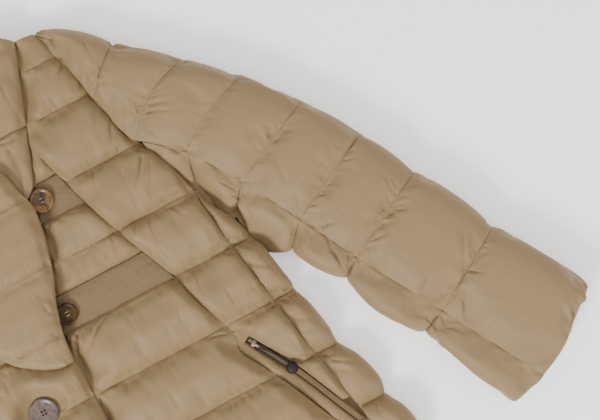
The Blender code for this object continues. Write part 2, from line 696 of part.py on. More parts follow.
def make_pull(name, side):
    """The moulded pull: two strands from a cross bar in the slider's arch to a round grip."""
    start, along = pocket_line(side)
    up = Vector((0, 0, 1))
    plastic = finish("pull_plastic", (0.05, 0.045, 0.045, 1), 0.45)
    pivot = start + along * SLIDER_AT * MM + up * PULL_AXIS * MM
    grip = start + along * (SLIDER_AT + PULL_LENGTH) * MM + up * GRIP_HEIGHT * MM
    run = (grip - pivot).normalized()
    across = up.cross(along)
    turn = Matrix((run, across, run.cross(across))).transposed()
    length = (grip - pivot).length / MM
    half = STRAND / 2
    loop = block(name, pivot + run * (length - half) / 2 * MM, (length + half, PULL_WIDTH, STRAND), turn,
                 plastic)
    window = block(name + "_window", pivot + run * (length + STRAND) * MM,
                   (2 * length + half, PULL_WIDTH - 2 * STRAND, 2 * STRAND), turn, plastic)
    ball = bmesh.new()
    bmesh.ops.create_uvsphere(ball, u_segments=12, v_segments=8, radius=GRIP_RADIUS * MM)
    bmesh.ops.transform(ball, matrix=Matrix.Translation(grip) @ turn.to_4x4(), verts=ball.verts)
    combine(loop, window, "DIFFERENCE")
    combine(loop, add_object(name + "_grip", ball, plastic), "UNION")


ZIP_TOP = FRONT_FLOOR + 2.5
WELT_TOP = 18.0
SLIDER_AT = 14.0
SLIDER_LENGTH = 11.0
SLIDER_HEIGHT = 4.0
ARCH_OPENING = 1.7
ARCH_WALL = 1.1
ARCH_WIDTH = 2.6
PULL_AXIS = ZIP_TOP + GAP + SLIDER_HEIGHT + ARCH_OPENING
PULL_WIDTH = 6.6
STRAND = 1.8
PULL_LENGTH = 42.0
GRIP_RADIUS = 6.2
GRIP_HEIGHT = 28.5


def make_pocket(side_name, side):
    lip = finish("shell_cloth", CLOTH_COLOUR)
    tape = finish("zip_tape", (0.30, 0.22, 0.15, 1), 0.7)
    half = ZIP_WIDTH / 2
    length = (POCKET_TOP, POCKET_END - 12)
    strip(f"{side_name}_zip", side, (-half, half), (FRONT_FLOOR, ZIP_TOP), length, tape)
    strip(f"{side_name}_pocket_welt", side, (-half - GAP - WELT_WIDTH, -half - GAP), (FRONT_FLOOR, WELT_TOP),
          length, lip, crown=2.0)
    make_slider(f"{side_name}_slider", side)
    make_pull(f"{side_name}_pull", side)


# ---------------------------------------------------------------- buttons

def make_button(place):
    """A flat four-hole button with a raised rim."""
    centre = to_row(place.across, place.down, place.floor)
    radius = place.radius * MM
    bm = bmesh.new()
    disc = bmesh.ops.create_cone(bm, cap_ends=True, segments=16, radius1=radius * 0.9, radius2=radius,
                                 depth=BUTTON_THICKNESS * MM,
                                 matrix=Matrix.Translation((0, 0, BUTTON_THICKNESS * MM / 2)))
    top = max({f for v in disc["verts"] for f in v.link_faces}, key=lambda f: f.calc_center_median().z)
    bmesh.ops.inset_region(bm, faces=[top], thickness=radius * 0.16)
    bmesh.ops.inset_region(bm, faces=[top], thickness=radius * 0.10, depth=-1.0 * MM)
    bmesh.ops.translate(bm, verts=bm.verts, vec=centre)
    horn = finish(place.finish, BUTTON_COLOURS[place.finish], 0.25)
    button = add_object(place.name, bm, horn)
    drill = bmesh.new()
    for i in range(4):
        angle = pi / 4 + i * pi / 2
        offset = Vector((cos(angle), sin(angle), 0)) * 2.6 * MM
        bmesh.ops.create_cone(drill, cap_ends=True, segments=6, radius1=1.1 * MM, radius2=1.1 * MM,
                              depth=20 * MM, matrix=Matrix.Translation(centre + offset))
    combine(button, add_object(place.name + "_holes", drill, horn), "DIFFERENCE")
    return button


# ---------------------------------------------------------------- assembly

def main():
    for obj in list(bpy.data.objects):
        bpy.data.objects.remove(obj)
    make_back()
    make_left_front()
    make_right_front()
    for number, lines in enumerate(BANDS, 1):
        make_band(number, lines)
    make_front_side("left_front_side", 1, LEFT_COVER, LEFT_PRESSED)
    make_front_side("right_front_side", -1, RIGHT_LAPEL_OUTER, RIGHT_PRESSED)
    for side_name, side in (("left", 1), ("right", -1)):
        make_side(f"{side_name}_side", side)
        make_top_sleeve(f"{side_name}_top_sleeve", side)
        make_under_sleeve(f"{side_name}_under_sleeve", side)
        make_pocket(side_name, side)
    make_left_lapel()
    make_right_lapel()
    make_collar()
    for place in BUTTONS:
        make_button(place)


main()
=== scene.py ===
"""A long quilted down coat laid flat on its back: the looks of every piece, in sewing order.

Sizes are in millimetres and become metres when a point is placed. `down` is the distance below the
shoulder's neck point and `across` the distance from the centre front towards the side.
"""

from collections import namedtuple
from math import cos, exp, hypot, pi, radians, sin, sqrt

import bmesh
import bpy
import numpy as np
from mathutils import Matrix, Vector, noise
from mathutils.bvhtree import BVHTree


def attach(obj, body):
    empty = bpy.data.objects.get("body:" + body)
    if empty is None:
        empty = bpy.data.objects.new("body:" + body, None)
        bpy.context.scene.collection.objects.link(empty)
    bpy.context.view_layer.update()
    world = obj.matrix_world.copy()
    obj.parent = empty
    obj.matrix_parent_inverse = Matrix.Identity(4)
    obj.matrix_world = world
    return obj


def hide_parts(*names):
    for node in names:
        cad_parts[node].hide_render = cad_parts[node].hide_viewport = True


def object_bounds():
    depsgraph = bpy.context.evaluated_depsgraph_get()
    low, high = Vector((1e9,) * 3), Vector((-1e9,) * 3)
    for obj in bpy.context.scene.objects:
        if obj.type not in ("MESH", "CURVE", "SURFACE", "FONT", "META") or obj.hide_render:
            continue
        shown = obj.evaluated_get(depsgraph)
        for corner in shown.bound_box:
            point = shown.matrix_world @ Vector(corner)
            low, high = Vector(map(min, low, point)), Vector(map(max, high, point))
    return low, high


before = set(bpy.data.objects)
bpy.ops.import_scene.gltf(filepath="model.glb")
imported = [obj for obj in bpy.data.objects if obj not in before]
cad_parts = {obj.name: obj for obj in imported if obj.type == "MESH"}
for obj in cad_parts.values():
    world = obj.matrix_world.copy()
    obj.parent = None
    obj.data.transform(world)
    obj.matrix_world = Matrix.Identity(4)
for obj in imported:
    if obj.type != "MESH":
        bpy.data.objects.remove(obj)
cad_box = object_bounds()

# ---------------------------------------------------------------- back
# The back is one down-filled panel from the neck to the hem, cut from the same light khaki shell cloth as
# the fronts: a fine, tightly woven nylon with a soft satin sheen. The coat's weight presses it flat on the
# floor, and only its plain inside shows at the neck.

MM = 0.001
SIDES = (("left", 1), ("right", -1))
LENGTH = 1090
NECK_Y = cad_box[0][1] + LENGTH * MM
UP = Vector((0, 0, 1))
SHELL_COLOUR = (0.240, 0.159, 0.078, 1)
SHELL_SHADE = (0.216, 0.142, 0.068, 1)
WEAVE_PITCH = 0.45
THREAD_HEIGHT = 0.06
CREASE_HEIGHT = 1.2
# A wave texture of this scale has one band to each metre.
BAND_SCALE = 0.314
BACK_THICKNESS = 12
BACK_VOXEL = 8
# The back's stitching and slackness show on its upper side only, above this share of its thickness.
UNDER_SHARE = 0.3
BACK_GROOVE, GROOVE_WIDTH, BACK_SLACK = 1.6, 5, 0.9
QUILT_PITCH = 67.3
QUILT_FIRST = 80.7


def quilt_lines(first, stop):
    """The level lines of stitching, numbered from the topmost."""
    return [QUILT_FIRST + i * QUILT_PITCH for i in range(first, stop)]


def mix(a, b, share):
    return a + (b - a) * share


def smooth(x):
    """0 below 0, 1 above 1, and an even ramp between."""
    x = min(1.0, max(0.0, x))
    return x * x * (3 - 2 * x)


def place(across, down, z=0.0, side=1):
    """A point of the coat in the frame, from its distances in millimetres."""
    return Vector((side * across * MM, NECK_Y - down * MM, z * MM))


def down_of(point):
    return (NECK_Y - point.y) / MM


def set_sockets(material, node, sockets):
    """Sets a node's sockets, named with underscores or numbered, to values or to other nodes' outputs."""
    for key, value in sockets.items():
        socket = node.inputs[key.replace("_", " ") if isinstance(key, str) else key]
        if isinstance(value, bpy.types.NodeSocket):
            material.node_tree.links.new(value, socket)
        else:
            socket.default_value = value


def add_node(material, kind, sockets=None, choices=None, **named_sockets):
    """A shader node with its choices made and its sockets set."""
    node = material.node_tree.nodes.new(kind)
    for name, choice in (choices or {}).items():
        setattr(node, name, choice)
    set_sockets(material, node, {**(sockets or {}), **named_sockets})
    return node


def add_noise(material, **sockets):
    """Noise on the piece's own coordinates."""
    point = add_node(material, "ShaderNodeTexCoord").outputs["Object"]
    return add_node(material, "ShaderNodeTexNoise", Vector=point, **sockets).outputs["Fac"]


def shade(material, **sockets):
    set_sockets(material, material.node_tree.nodes["Principled BSDF"], sockets)


def new_material(name, **sockets):
    """A material whose shader has these sockets set."""
    material = bpy.data.materials.new(name)
    material.use_nodes = True
    shade(material, **sockets)
    return material


def colour_between(material, share, low, high):
    """Gives the material a colour that runs from low to high as share goes from 0 to 1."""
    node = add_node(material, "ShaderNodeMix", {0: share, 6: low, 7: high}, {"data_type": "RGBA"})
    shade(material, Base_Color=node.outputs[2])


def weave_over(material, creases, pitch, strength):
    """Bump of a plain weave of this pitch in millimetres, over the cloth's creases."""
    point = add_node(material, "ShaderNodeTexCoord").outputs["Object"]
    threads = [
        add_node(material, "ShaderNodeTexWave", {}, {"bands_direction": direction}, Vector=point,
                 Scale=BAND_SCALE / (pitch * MM), Distortion=0.4, Detail=1.0).outputs["Fac"]
        for direction in ("X", "Y")
    ]
    both = add_node(material, "ShaderNodeMath", dict(enumerate(threads)), {"operation": "MULTIPLY"})
    return add_node(material, "ShaderNodeBump", Strength=strength, Distance=THREAD_HEIGHT * MM,
                    Height=both.outputs[0], Normal=creases).outputs["Normal"]


def cloth(name, light, dark, pitch, roughness, sheen, weave_strength, crinkle):
    """A woven cloth: its threads, a faint unevenness of dye and a fine crinkle."""
    material = new_material(name, Roughness=roughness, Specular_IOR_Level=0.22, Sheen_Weight=sheen,
                            Sheen_Roughness=0.45, Sheen_Tint=(1.0, 0.86, 0.66, 1))
    broad = add_noise(material, Scale=9.0, Detail=3.0, Roughness=0.55)
    fine = add_noise(material, Scale=420.0, Detail=2.0, Roughness=0.6)
    dye = add_node(material, "ShaderNodeMath", {0: fine, 1: 0.35, 2: broad}, {"operation": "MULTIPLY_ADD"})
    colour_between(material, dye.outputs[0], light, dark)
    height = add_noise(material, Scale=95.0, Detail=3.0, Roughness=0.5, Distortion=0.6)
    creases = add_node(material, "ShaderNodeBump", Strength=crinkle, Distance=CREASE_HEIGHT * MM,
                       Height=height)
    shade(material, Normal=weave_over(material, creases.outputs["Normal"], pitch, weave_strength))
    return material


shell_cloth = cloth("shell_cloth", SHELL_COLOUR, SHELL_SHADE, WEAVE_PITCH, 0.55, 0.15, 0.35, 0.25)


def node_solid(node):
    """A copy of a frame piece with its triangles joined up."""
    solid = bmesh.new()
    solid.from_mesh(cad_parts[node].data)
    bmesh.ops.remove_doubles(solid, verts=solid.verts, dist=1e-6)
    return solid


def add_object(name, bm, material=None):
    """Puts a mesh in the scene."""
    made = bpy.data.objects.new(name, bpy.data.meshes.new(name))
    bm.to_mesh(made.data)
    bm.free()
    if material:
        made.data.materials.append(material)
    bpy.context.scene.collection.objects.link(made)
    return made


def add_piece(name, bm, material, node, body="coat", slot="shell_cloth"):
    """Puts a finished mesh in the scene, riding on its body in place of its frame piece."""
    piece = add_object(name, bm, material)
    piece.data.shade_smooth()
    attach(piece, body)
    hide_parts(node)
    return piece


def add_trim(name, bm, material):
    """Puts a small mesh in the scene that is sewn on the coat and replaces nothing."""
    trim = add_object(name, bm, material)
    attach(trim, "coat")
    return trim


def give_back(bm, piece):
    """Puts a changed mesh back in its piece."""
    bm.to_mesh(piece.data)
    bm.free()


def applied(piece):
    """The piece's mesh with its modifiers made real, as a bmesh, and the modifiers taken off."""
    bm = bmesh.new()
    bm.from_object(piece, bpy.context.evaluated_depsgraph_get())
    piece.modifiers.clear()
    return bm


back = add_piece("back_panel", node_solid("back"), shell_cloth, "back")
remesh = back.modifiers.new("even net", "REMESH")
remesh.mode = "VOXEL"
remesh.voxel_size = BACK_VOXEL * MM
bm = applied(back)
for vert in bm.verts:
    rise = smooth(vert.co.z / (BACK_THICKNESS * MM) - UNDER_SHARE)
    channel = (down_of(vert.co) - QUILT_FIRST) / QUILT_PITCH
    groove = BACK_GROOVE * exp(-((channel - round(channel)) * QUILT_PITCH / GROOVE_WIDTH) ** 2)
    vert.co.z -= rise * MM * (groove + BACK_SLACK * (1 + noise.noise(vert.co * 30)))
give_back(bm, back)
back.data.shade_smooth()

# ---------------------------------------------------------------- fronts
# The left front lies on the back from the neck to the hem, and the right front closes over it. Each is a
# shell and an inner shell stitched together along level lines, 67 mm apart, and filled with down between
# them. The cloth is eased along the stitching, so it puckers there.

# The net is finer along the stitching, where the cloth puckers, than across it, and its rows draw in there.
STEP = 2.6
ROW_LENGTH = 2.2
GATHER = 0.09
# How each point of a skin is held: a held one is sewn into a seam, or lies on the floor or under a piece.
FREE, HELD, STITCHED = 0.0, 1.0, 2.0
STITCH_WANDER, STITCH_DIP, CLOTH_SLACK = 0.9, 0.5, 0.5
STITCH_CREASE = 0.85
PUCKER = 11.0
SEAM_MEET = 0.3
STITCH_RISE = 0.35
# A channel's height follows a sine to this power in its frame piece, and to the lower one when it is full.
SOLID_POWER, FULL_POWER = 0.6, 0.33
# The down on both sides lifts a seam between two channels' stitching. A row is a distance down and the share
# of the lift there: none above the armhole's end on the side seam, and none where the pocket parts the seam.
SEAM_LIFT = 8
LIFT_REACH = 30
FRONT_SEAM = ((80.7, 0), (95, 1), (330, 1), (349.9, 0), (505, 0), (530, 1), (1090, 1))
BANDED_SEAM = ((80.7, 0), (95, 1), (124, 1), (134, 0), (178, 0), (188, 1), (233, 1), (243, 0), (286, 0),
               (296, 1), *FRONT_SEAM[2:])
SIDE_SEAM = ((216, 0), (236, 1), (1090, 1))
LEFT_LINES = (60.1, QUILT_FIRST, 136, 176, 215.3, 245, 284, *quilt_lines(4, 15), 1089.9)
RIGHT_LINES = (60.1, *quilt_lines(0, 15), 1089.9)
# A button holds the cloth within this distance of its centre, and the filling comes in over this much more.
BUTTON_PRESS, BUTTON_EASE = 16, 14
# The filling also comes in over this distance from a panel's seams.
SEAM_EASE = 12
# A point this close to an end of its row, against the net's step, is moved to the end.
SNAP = 0.4
# The underside's height is read this far inside the frame piece's walls.
WALL = 0.05
# How much lower cloth lies under another piece, which holds it down.
COVERED_DROP = 0.8
# A closed button presses the cloth down to a round pad of this height, and the filling closes over it within
# this distance.
BUTTON_PAD = 24.6
BUTTON_REACH = 31
CLOSED_BUTTONS = tuple(341 + i * 1.5 * QUILT_PITCH for i in range(5))
# A fold starts at the stitching or seam that gathers it, where it is deepest, and fades out at its far end.
# Its width is half across, and a fold of negative depth stands up as a ridge.
Fold = namedtuple("Fold", "across down to_across to_down width depth")


def folds_of(*rows):
    return tuple(Fold(*row) for row in rows)


LEFT_FRONT_FOLDS = folds_of(
    (111, 175, 131, 182, 3, 1), (99, 174, 110, 181, 3, 0.9), (90, 177, 99, 187, 3, 1.1),
    (111, 215, 105, 228, 3.5, 1), (142, 218, 137, 237, 4, 1.5), (95, 286, 65, 308, 3, 2.6),
    (72, 287, 67, 307, 3, 1.6), (68, 283, 52, 313, 4, 4), (59, 283, 50, 306, 3, 2),
    (168, 290, 162, 307, 4, 1), (167, 312, 160, 340, 5, 0.9), (164, 284, 157, 291, 2.5, 1.2),
    (196, 357, 177, 350, 3, 2), (197, 348, 188, 348, 3, 1.6), (210, 383, 206, 395, 3, 1),
    (207, 381, 194, 374, 2.5, 1), (225, 416, 205, 414, 3, 2.2), (217, 423, 231, 433, 3, 1.5),
    (55, 354, 51, 368, 4, 1.8),
)
RIGHT_FRONT_FOLDS = folds_of(
    (-14, 303, 0, 305, 4, 0.8), (-18, 339, -39, 339, 4, 0.8), (-44, 350, -51, 358, 3, 1.5),
    (-39, 331, -42, 342, 3, 0.7), (30, 302, 16, 319, 5, 1),
)
# What each lower line of stitching gathers on a front, as distances from the centre and from the line.
LOW_FRONT_FOLDS = folds_of(
    (206, 1, 196, 15, 3, 1.8), (262, -1, 248, -16, 3.5, 1.6), (178, -1, 172, -17, 4, 1.1),
    (118, 1, 112, 17, 4, 1.3), (76, -1, 72, -13, 3, 1.0), (40, 1, 33, 20, 3.5, 1.5),
)
Panel = namedtuple("Panel", "piece side folds swell lean puckers")
panels = []


def cut_through(solid, origin, along):
    """Where an upright plane cuts a solid: its outline in order, as (distance along the plane, height).

    The plane stands a hair beside the origin, so that it misses the solid's own points.
    """
    work = solid.copy()
    off_the_points = 0.013 * MM
    geometry = [*work.verts, *work.edges, *work.faces]
    normal = along.cross(UP)
    cut = bmesh.ops.bisect_plane(work, geom=geometry, dist=1e-7, plane_co=origin + normal * off_the_points,
                                 plane_no=normal, clear_inner=True, clear_outer=True)["geom_cut"]
    edges = [e for e in cut if isinstance(e, bmesh.types.BMEdge)]
    edge = min(edges, key=lambda e: ((e.verts[0].co + e.verts[1].co) / 2 - origin).length)
    first = vert = edge.verts[0]
    outline = []
    while True:
        outline.append(((vert.co - origin).dot(along), vert.co.z))
        vert = edge.other_vert(vert)
        if vert is first:
            break
        edge = next(e for e in vert.link_edges if e is not edge)
    work.free()
    return outline


def ends_of(outline):
    """The lowest and the highest distance along an outline."""
    return [f(q for q, _ in outline) for f in (min, max)]


def two_ways(outline, start, stop):
    """The two stretches of an outline between two of its points: over its highest point, and the other."""
    count = len(outline)
    peak = max(range(count), key=lambda i: outline[i][1])
    forward = [outline[(start + i) % count] for i in range((stop - start) % count + 1)]
    backward = [outline[(start - i) % count] for i in range((start - stop) % count + 1)]
    if (peak - start) % count <= (stop - start) % count:
        return forward, backward
    return backward, forward


def value_at(rows, x):
    """The second value of rows, such as an outline's height, where their first is x."""
    for (x0, value0), (x1, value1) in zip(rows, rows[1:]):
        if x <= x1 and x1 > x0:
            return mix(value0, value1, max(0.0, (x - x0) / (x1 - x0)))
    return rows[-1][1]


def drawn_in(count, gather=GATHER):
    """Shares of a channel's width at its rows, which lie closer by its stitching."""
    return [k / count - gather * sin(2 * pi * k / count) for k in range(count)]


def stitched_rows(lines, step, gather=GATHER):
    """A panel's rows: their places, which are stitched, and their shares of their channel's width."""
    places, shares, stitched = [], [], set()
    for start, end in zip(lines, lines[1:]):
        channel = drawn_in(max(3, round(abs(end - start) / step)), gather)
        stitched.add(len(places))
        places += [mix(start, end, share) for share in channel]
        shares += channel
    stitched.add(len(places))
    return places + [lines[-1]], stitched, shares + [0.0]


def face_out(bm):
    """Turns a skin the right way: its highest face looks up."""
    bm.normal_update()
    top = max(bm.faces, key=lambda f: f.calc_center_median().z)
    if top.normal.z < 0:
        bmesh.ops.reverse_faces(bm, faces=bm.faces)


def ease(vert, pin, seed):
    """Moves a point a little, as eased cloth and hand-guided stitching do."""
    spot = Vector((vert.co.x, vert.co.y, seed))
    if vert[pin] == STITCHED:
        vert.co.y += STITCH_WANDER * MM * noise.noise(spot / (PUCKER * MM))
        vert.co.z += STITCH_DIP * MM * noise.noise(spot / (0.6 * PUCKER * MM))
    elif vert[pin] == FREE:
        vert.co.z += CLOTH_SLACK * MM * noise.noise(spot / (4 * MM))


def crease_stitching(skin, pin):
    """Keeps the stitching lines crisp when the net is made finer."""
    crease = skin.edges.layers.float.get("crease_edge") or skin.edges.layers.float.new("crease_edge")
    for edge in skin.edges:
        if all(v[pin] == STITCHED for v in edge.verts):
            edge[crease] = STITCH_CREASE


def puff(share, power=SOLID_POWER):
    """How far a channel is filled at this share of its width, from 0 at its stitching to 1."""
    return sin(pi * min(1, max(0, share))) ** power


def fullness(share, depth, rise):
    """How far a point is raised above its frame piece: down fills a channel to close by its stitching."""
    full = puff(share, FULL_POWER)
    return depth * (full - puff(share) + rise * (1 - full))


def seam_lift(rows, down, away):
    """How far the down lifts a panel at this distance down, this far away from its seam."""
    if not rows:
        return 0
    channel = (down - QUILT_FIRST) / QUILT_PITCH % 1
    return SEAM_LIFT * value_at(rows, down) * puff(channel) * (1 - smooth(away / LIFT_REACH))


def round_press(top, x, height, from_button):
    """Height near a button: a round press in the channel, whose full height is taken from both its sides."""
    if abs(x) > BUTTON_REACH * MM or abs(from_button) > BUTTON_REACH:
        return height
    beside_press = mix(value_at(top, -BUTTON_REACH * MM), value_at(top, BUTTON_REACH * MM),
                       (x / (BUTTON_REACH * MM) + 1) / 2)
    ease_up = smooth((hypot(x / MM, from_button) - BUTTON_PRESS) / (BUTTON_REACH - BUTTON_PRESS))
    return max(height, mix(BUTTON_PAD * MM, beside_press, ease_up))


def flat_skin(node, lines, seed, covers=(), step=STEP, depth=15, buttons=(), quilted=True,
              edge=(), rise=STITCH_RISE, lifts=((), ())):
    """The upper skin of a panel that lies flat, as a net cut to the outline of its frame piece.

    edge is (down, across) rows of a stretch where the panel's seam lies beside its frame piece's, and
    lifts are the (down, share) rows of its inner and outer seam's lift.
    """
    solid = node_solid(node)
    above = [BVHTree.FromBMesh(node_solid(cover)) for cover in covers]
    row_step, gather = (step * ROW_LENGTH, GATHER) if quilted else (step, 0)
    downs, stitched, shares = stitched_rows(lines[::-1], row_step, gather)
    cuts = []
    for down in downs:
        outline = cut_through(solid, place(0, down), Vector((1, 0, 0)))
        ends = ends_of(outline)
        corners = [max((i for i, p in enumerate(outline) if abs(p[0] - end) < 0.02 * MM),
                       key=lambda i: outline[i][1]) for end in ends]
        ways = two_ways(outline, *corners)
        if edge and edge[0][0] < down < edge[-1][0]:
            seam = value_at(edge, down) * MM * (1 if sum(ends) > 0 else -1)
            ends[0 if abs(seam - ends[0]) < abs(seam - ends[1]) else 1] = seam
        cuts.append((*ends, *ways))
    left, right = min(c[0] for c in cuts), max(c[1] for c in cuts)
    columns = max(2, round((right - left) / (step * MM)))
    skin = bmesh.new()
    bmesh.ops.create_grid(skin, x_segments=columns, y_segments=len(downs) - 1, size=0.5)
    pin, floor, along, off = (skin.verts.layers.float.new(name) for name in ("pin", "floor", "along", "off"))
    offs = [min(abs(down - downs[line]) for line in stitched) for down in downs]
    near = SNAP * step * MM
    for number, vert in enumerate(skin.verts):
        row, column = divmod(number, columns + 1)
        low, high, top, bottom = cuts[row]
        x = mix(left, right, column / columns)
        x = low if x < low + near else high if x > high - near else x
        vert.co = (x, place(0, downs[row]).y, value_at(top, x))
        for button in buttons:
            vert.co.z = round_press(top, x, vert.co.z, downs[row] - button)
        vert[floor] = value_at(bottom, min(max(x, bottom[0][0] + WALL * MM), bottom[-1][0] - WALL * MM))
        covered = any(tree.ray_cast(vert.co + UP * 0.1 * MM, UP)[0] for tree in above)
        clear = min([hypot(x / MM, downs[row] - button) for button in buttons], default=100)
        if covered:
            vert.co.z -= COVERED_DROP * MM
        else:
            inside = min(1.0, (x - low) / (SEAM_EASE * MM), (high - x) / (SEAM_EASE * MM))
            open_cloth = smooth(inside) * smooth((clear - BUTTON_PRESS) / BUTTON_EASE)
            vert.co.z += fullness(shares[row], depth, rise) * open_cloth * MM
            from_seams = (x - low, high - x) if low + high > 0 else (high - x, x - low)
            for rows, away in zip(lifts, from_seams):
                vert.co.z += seam_lift(rows, downs[row], away / MM) * MM
        vert[along] = x / MM
        vert[off] = offs[row]
        if x in (low, high) or row in (0, len(downs) - 1) or covered or clear < BUTTON_PRESS:
            vert[pin] = HELD
        elif row in stitched:
            vert[pin] = STITCHED
        ease(vert, pin, seed)
        if x in (low, high):
            vert.co.x += SEAM_MEET * MM * (1 if x == high else -1)
    bmesh.ops.remove_doubles(skin, verts=skin.verts, dist=0.02 * step * MM)
    crease_stitching(skin, pin)
    solid.free()
    face_out(skin)
    return skin


def on_each_line(folds, lines, sway, seed):
    """The same kind of folds at each of these lines, a little elsewhere and deeper or shallower on each."""
    for line in lines:
        for number, fold in enumerate(folds):
            shift = sway * noise.noise(Vector((line / 40, 3.7 * number, seed)))
            depth = fold.depth * (1 + 0.8 * noise.noise(Vector((line / 30, 5.3 * number, seed + 9))))
            yield Fold(fold.across + shift, fold.down + line, fold.to_across + 1.3 * shift,
                       fold.to_down + line, fold.width, depth)


def other_side(folds, seed):
    """The folds of one side of the coat as they fall on the other: alike, but not the same."""
    for fold in folds:
        spot = Vector((fold.across / 9, fold.down / 9, seed))
        shift, reach = 9 * noise.noise(spot), 1 + 0.7 * noise.noise(spot + UP * 5)
        start, run = fold.across + shift, (fold.to_across - fold.across, fold.to_down - fold.down)
        yield Fold(start, fold.down, start + reach * run[0], fold.down + reach * run[1], fold.width,
                   fold.depth * (1 + 0.6 * noise.noise(spot + UP * 11)))


def sew(node, skin, folds=(), swell=5.0, lean=0.5, puckers=1.0):
    """Makes a panel's object from its skin, ready to be filled with down.

    swell is how far down may raise it in millimetres, and lean how far its puckers slant to the centre.
    """
    pin = skin.verts.layers.float["pin"]
    held = [number for number, vert in enumerate(skin.verts) if vert[pin] != FREE]
    panel = add_piece(f"{node}_quilted", skin, shell_cloth, node)
    sewn = panel.vertex_groups.new(name="sewn")
    sewn.add(held, 1.0, "REPLACE")
    side = -1 if node.startswith("right") else 1
    panels.append(Panel(panel, side, tuple(folds), swell, lean, puckers))


# Above the pocket's end the princess seam runs straight on to the welt.
POCKET_FRONT = ((349.9, 200.1), (365, 205.8), (371.7, 205.6), (375.6, 197.4))
POCKET_SIDE = ((349.9, 200.6), (366, 206.5))
LEFT_COVERS = ("left_lapel", "right_lapel", "right_front", "button_band_1", "button_band_2")
left_skin = flat_skin("left_front", LEFT_LINES, 1.0, LEFT_COVERS, edge=POCKET_FRONT, lifts=((), BANDED_SEAM))
left_folds = (*LEFT_FRONT_FOLDS, *on_each_line(LOW_FRONT_FOLDS, LEFT_LINES[9:-1], 30, 1))
sew("left_front", left_skin, left_folds, puckers=0.7)
right_skin = flat_skin("right_front", RIGHT_LINES, 2.0, ("right_lapel",), buttons=CLOSED_BUTTONS,
                       edge=POCKET_FRONT, lifts=((), FRONT_SEAM))
right_folds = (*RIGHT_FRONT_FOLDS, *other_side(LEFT_FRONT_FOLDS, 2),
               *on_each_line(LOW_FRONT_FOLDS, RIGHT_LINES[6:-1], 30, 2))
sew("right_front", right_skin, right_folds, puckers=0.7)

# ---------------------------------------------------------------- front side pieces
# A long piece on each side, from the shoulder and armhole down to the hip, between the slanted princess
# seam and the side seam. It is quilted on the same lines as the fronts and ends in a point at the pocket.

FRONT_SIDE_LINES = (0.7, 32, *quilt_lines(0, 6), 469.9)
FRONT_SIDE_FOLDS = folds_of(
    (155, 152, 148, 175, 3, 1.2), (170, 155, 157, 169, 3, 0.8), (188, 161, 184, 173, 2.5, 1),
    (206, 160, 185, 189, 3, 3), (206, 172, 194, 188, 3, 1.5), (211, 169, 195, 205, 4, 1.5),
    (204, 152, 215, 160, 3, 2.2), (188, 97, 178, 119, 4, 1), (197, 111, 185, 140, 3, 2),
    (189, 141, 185, 152, 2.5, 1), (179, 43, 169, 51, 3.5, 3), (148, 30, 147, 45, 4, 1),
    (186, 66, 184, 75, 3, 1.5), (168, 217, 162, 239, 3, 0.8), (183, 220, 180, 253, 3, 0.9),
    (180, 253, 185, 276, 3, 0.8), (203, 212, 226, 246, 3.5, 0.9), (243, 291, 225, 277, 3, 2.2),
    (198, 290, 197, 309, 3, 0.8), (219, 319, 220, 339, 3, 0.9), (253, 327, 235, 328, 3, 2),
    (255, 355, 241, 355, 3, 2.6), (263, 414, 252, 412, 2.5, 1.5), (267, 430, 257, 426, 2.5, 1),
)

for seed, (side_name, _) in enumerate(SIDES, 3):
    node = f"{side_name}_front_side"
    folds = FRONT_SIDE_FOLDS if side_name == "left" else other_side(FRONT_SIDE_FOLDS, seed)
    inner = BANDED_SEAM[:-3] if side_name == "left" else FRONT_SEAM[:-3]
    skin = flat_skin(node, FRONT_SIDE_LINES, seed, (f"{side_name}_lapel",), edge=POCKET_SIDE,
                     lifts=(inner, SIDE_SEAM))
    sew(node, skin, folds)

# ---------------------------------------------------------------- side pieces
# A narrow piece on each side joins the front at the side seam, goes round the coat's side in a soft filled
# fold and meets the back underneath.

SIDE_LINES = (216.1, *quilt_lines(3, 15), 1089.9)
FOLD_RADIUS = 12
LAYER_GAP = 0.3
FLOOR_SHARE = 0.4
# The fold's channels bulge outwards below the pocket: from this distance down, and over this much more.
SIDE_BULGE = 4.5
SIDE_FILLED, FILLED_OVER = 390, 60
# A side or sleeve panel is held where it lies on the floor, below this height.
ON_FLOOR = 1.5
SIDE_FOLDS = folds_of(
    (244, 275, 265, 281, 3, 1.3), (246, 281, 265, 299, 3, 1.1), (250, 306, 270, 318, 3, 1.8),
    (255, 341, 283, 352, 3, 2.5), (253, 346, 270, 357, 3, 1.5), (266, 369, 261, 377, 2.5, 1),
    (265, 377, 281, 383, 3, 1.3), (262, 389, 276, 393, 3, 1), (269, 419, 285, 425, 3, 1.3),
    (278, 429, 301, 443, 3, 1.7), (275, 437, 291, 445, 3, 1.2), (297, 488, 294, 503, 4, 1),
)
# What each lower line gathers on a side piece, from the side seam and from the line.
LOW_SIDE_FOLDS = folds_of(
    (0, -3, 21, -1, 3, 1.7), (3, 6, 22, 9, 3, 1.2), (4, -14, 20, -17, 4, 0.9),
)


def lengths_along(path):
    """Distance run along a path at each of its points, in which the floor counts for less."""
    run = [0.0]
    for a, b in zip(path, path[1:]):
        run.append(run[-1] + (b - a).length * (FLOOR_SHARE if max(a.z, b.z) < 1 * MM else 1.0))
    return run


def point_on(path, run, share):
    """The point at this share of a path's run."""
    goal = share * run[-1]
    for i, (a, b) in enumerate(zip(path, path[1:])):
        if goal <= run[i + 1] and run[i + 1] > run[i]:
            return a.lerp(b, (goal - run[i]) / (run[i + 1] - run[i]))
    return path[-1].copy()


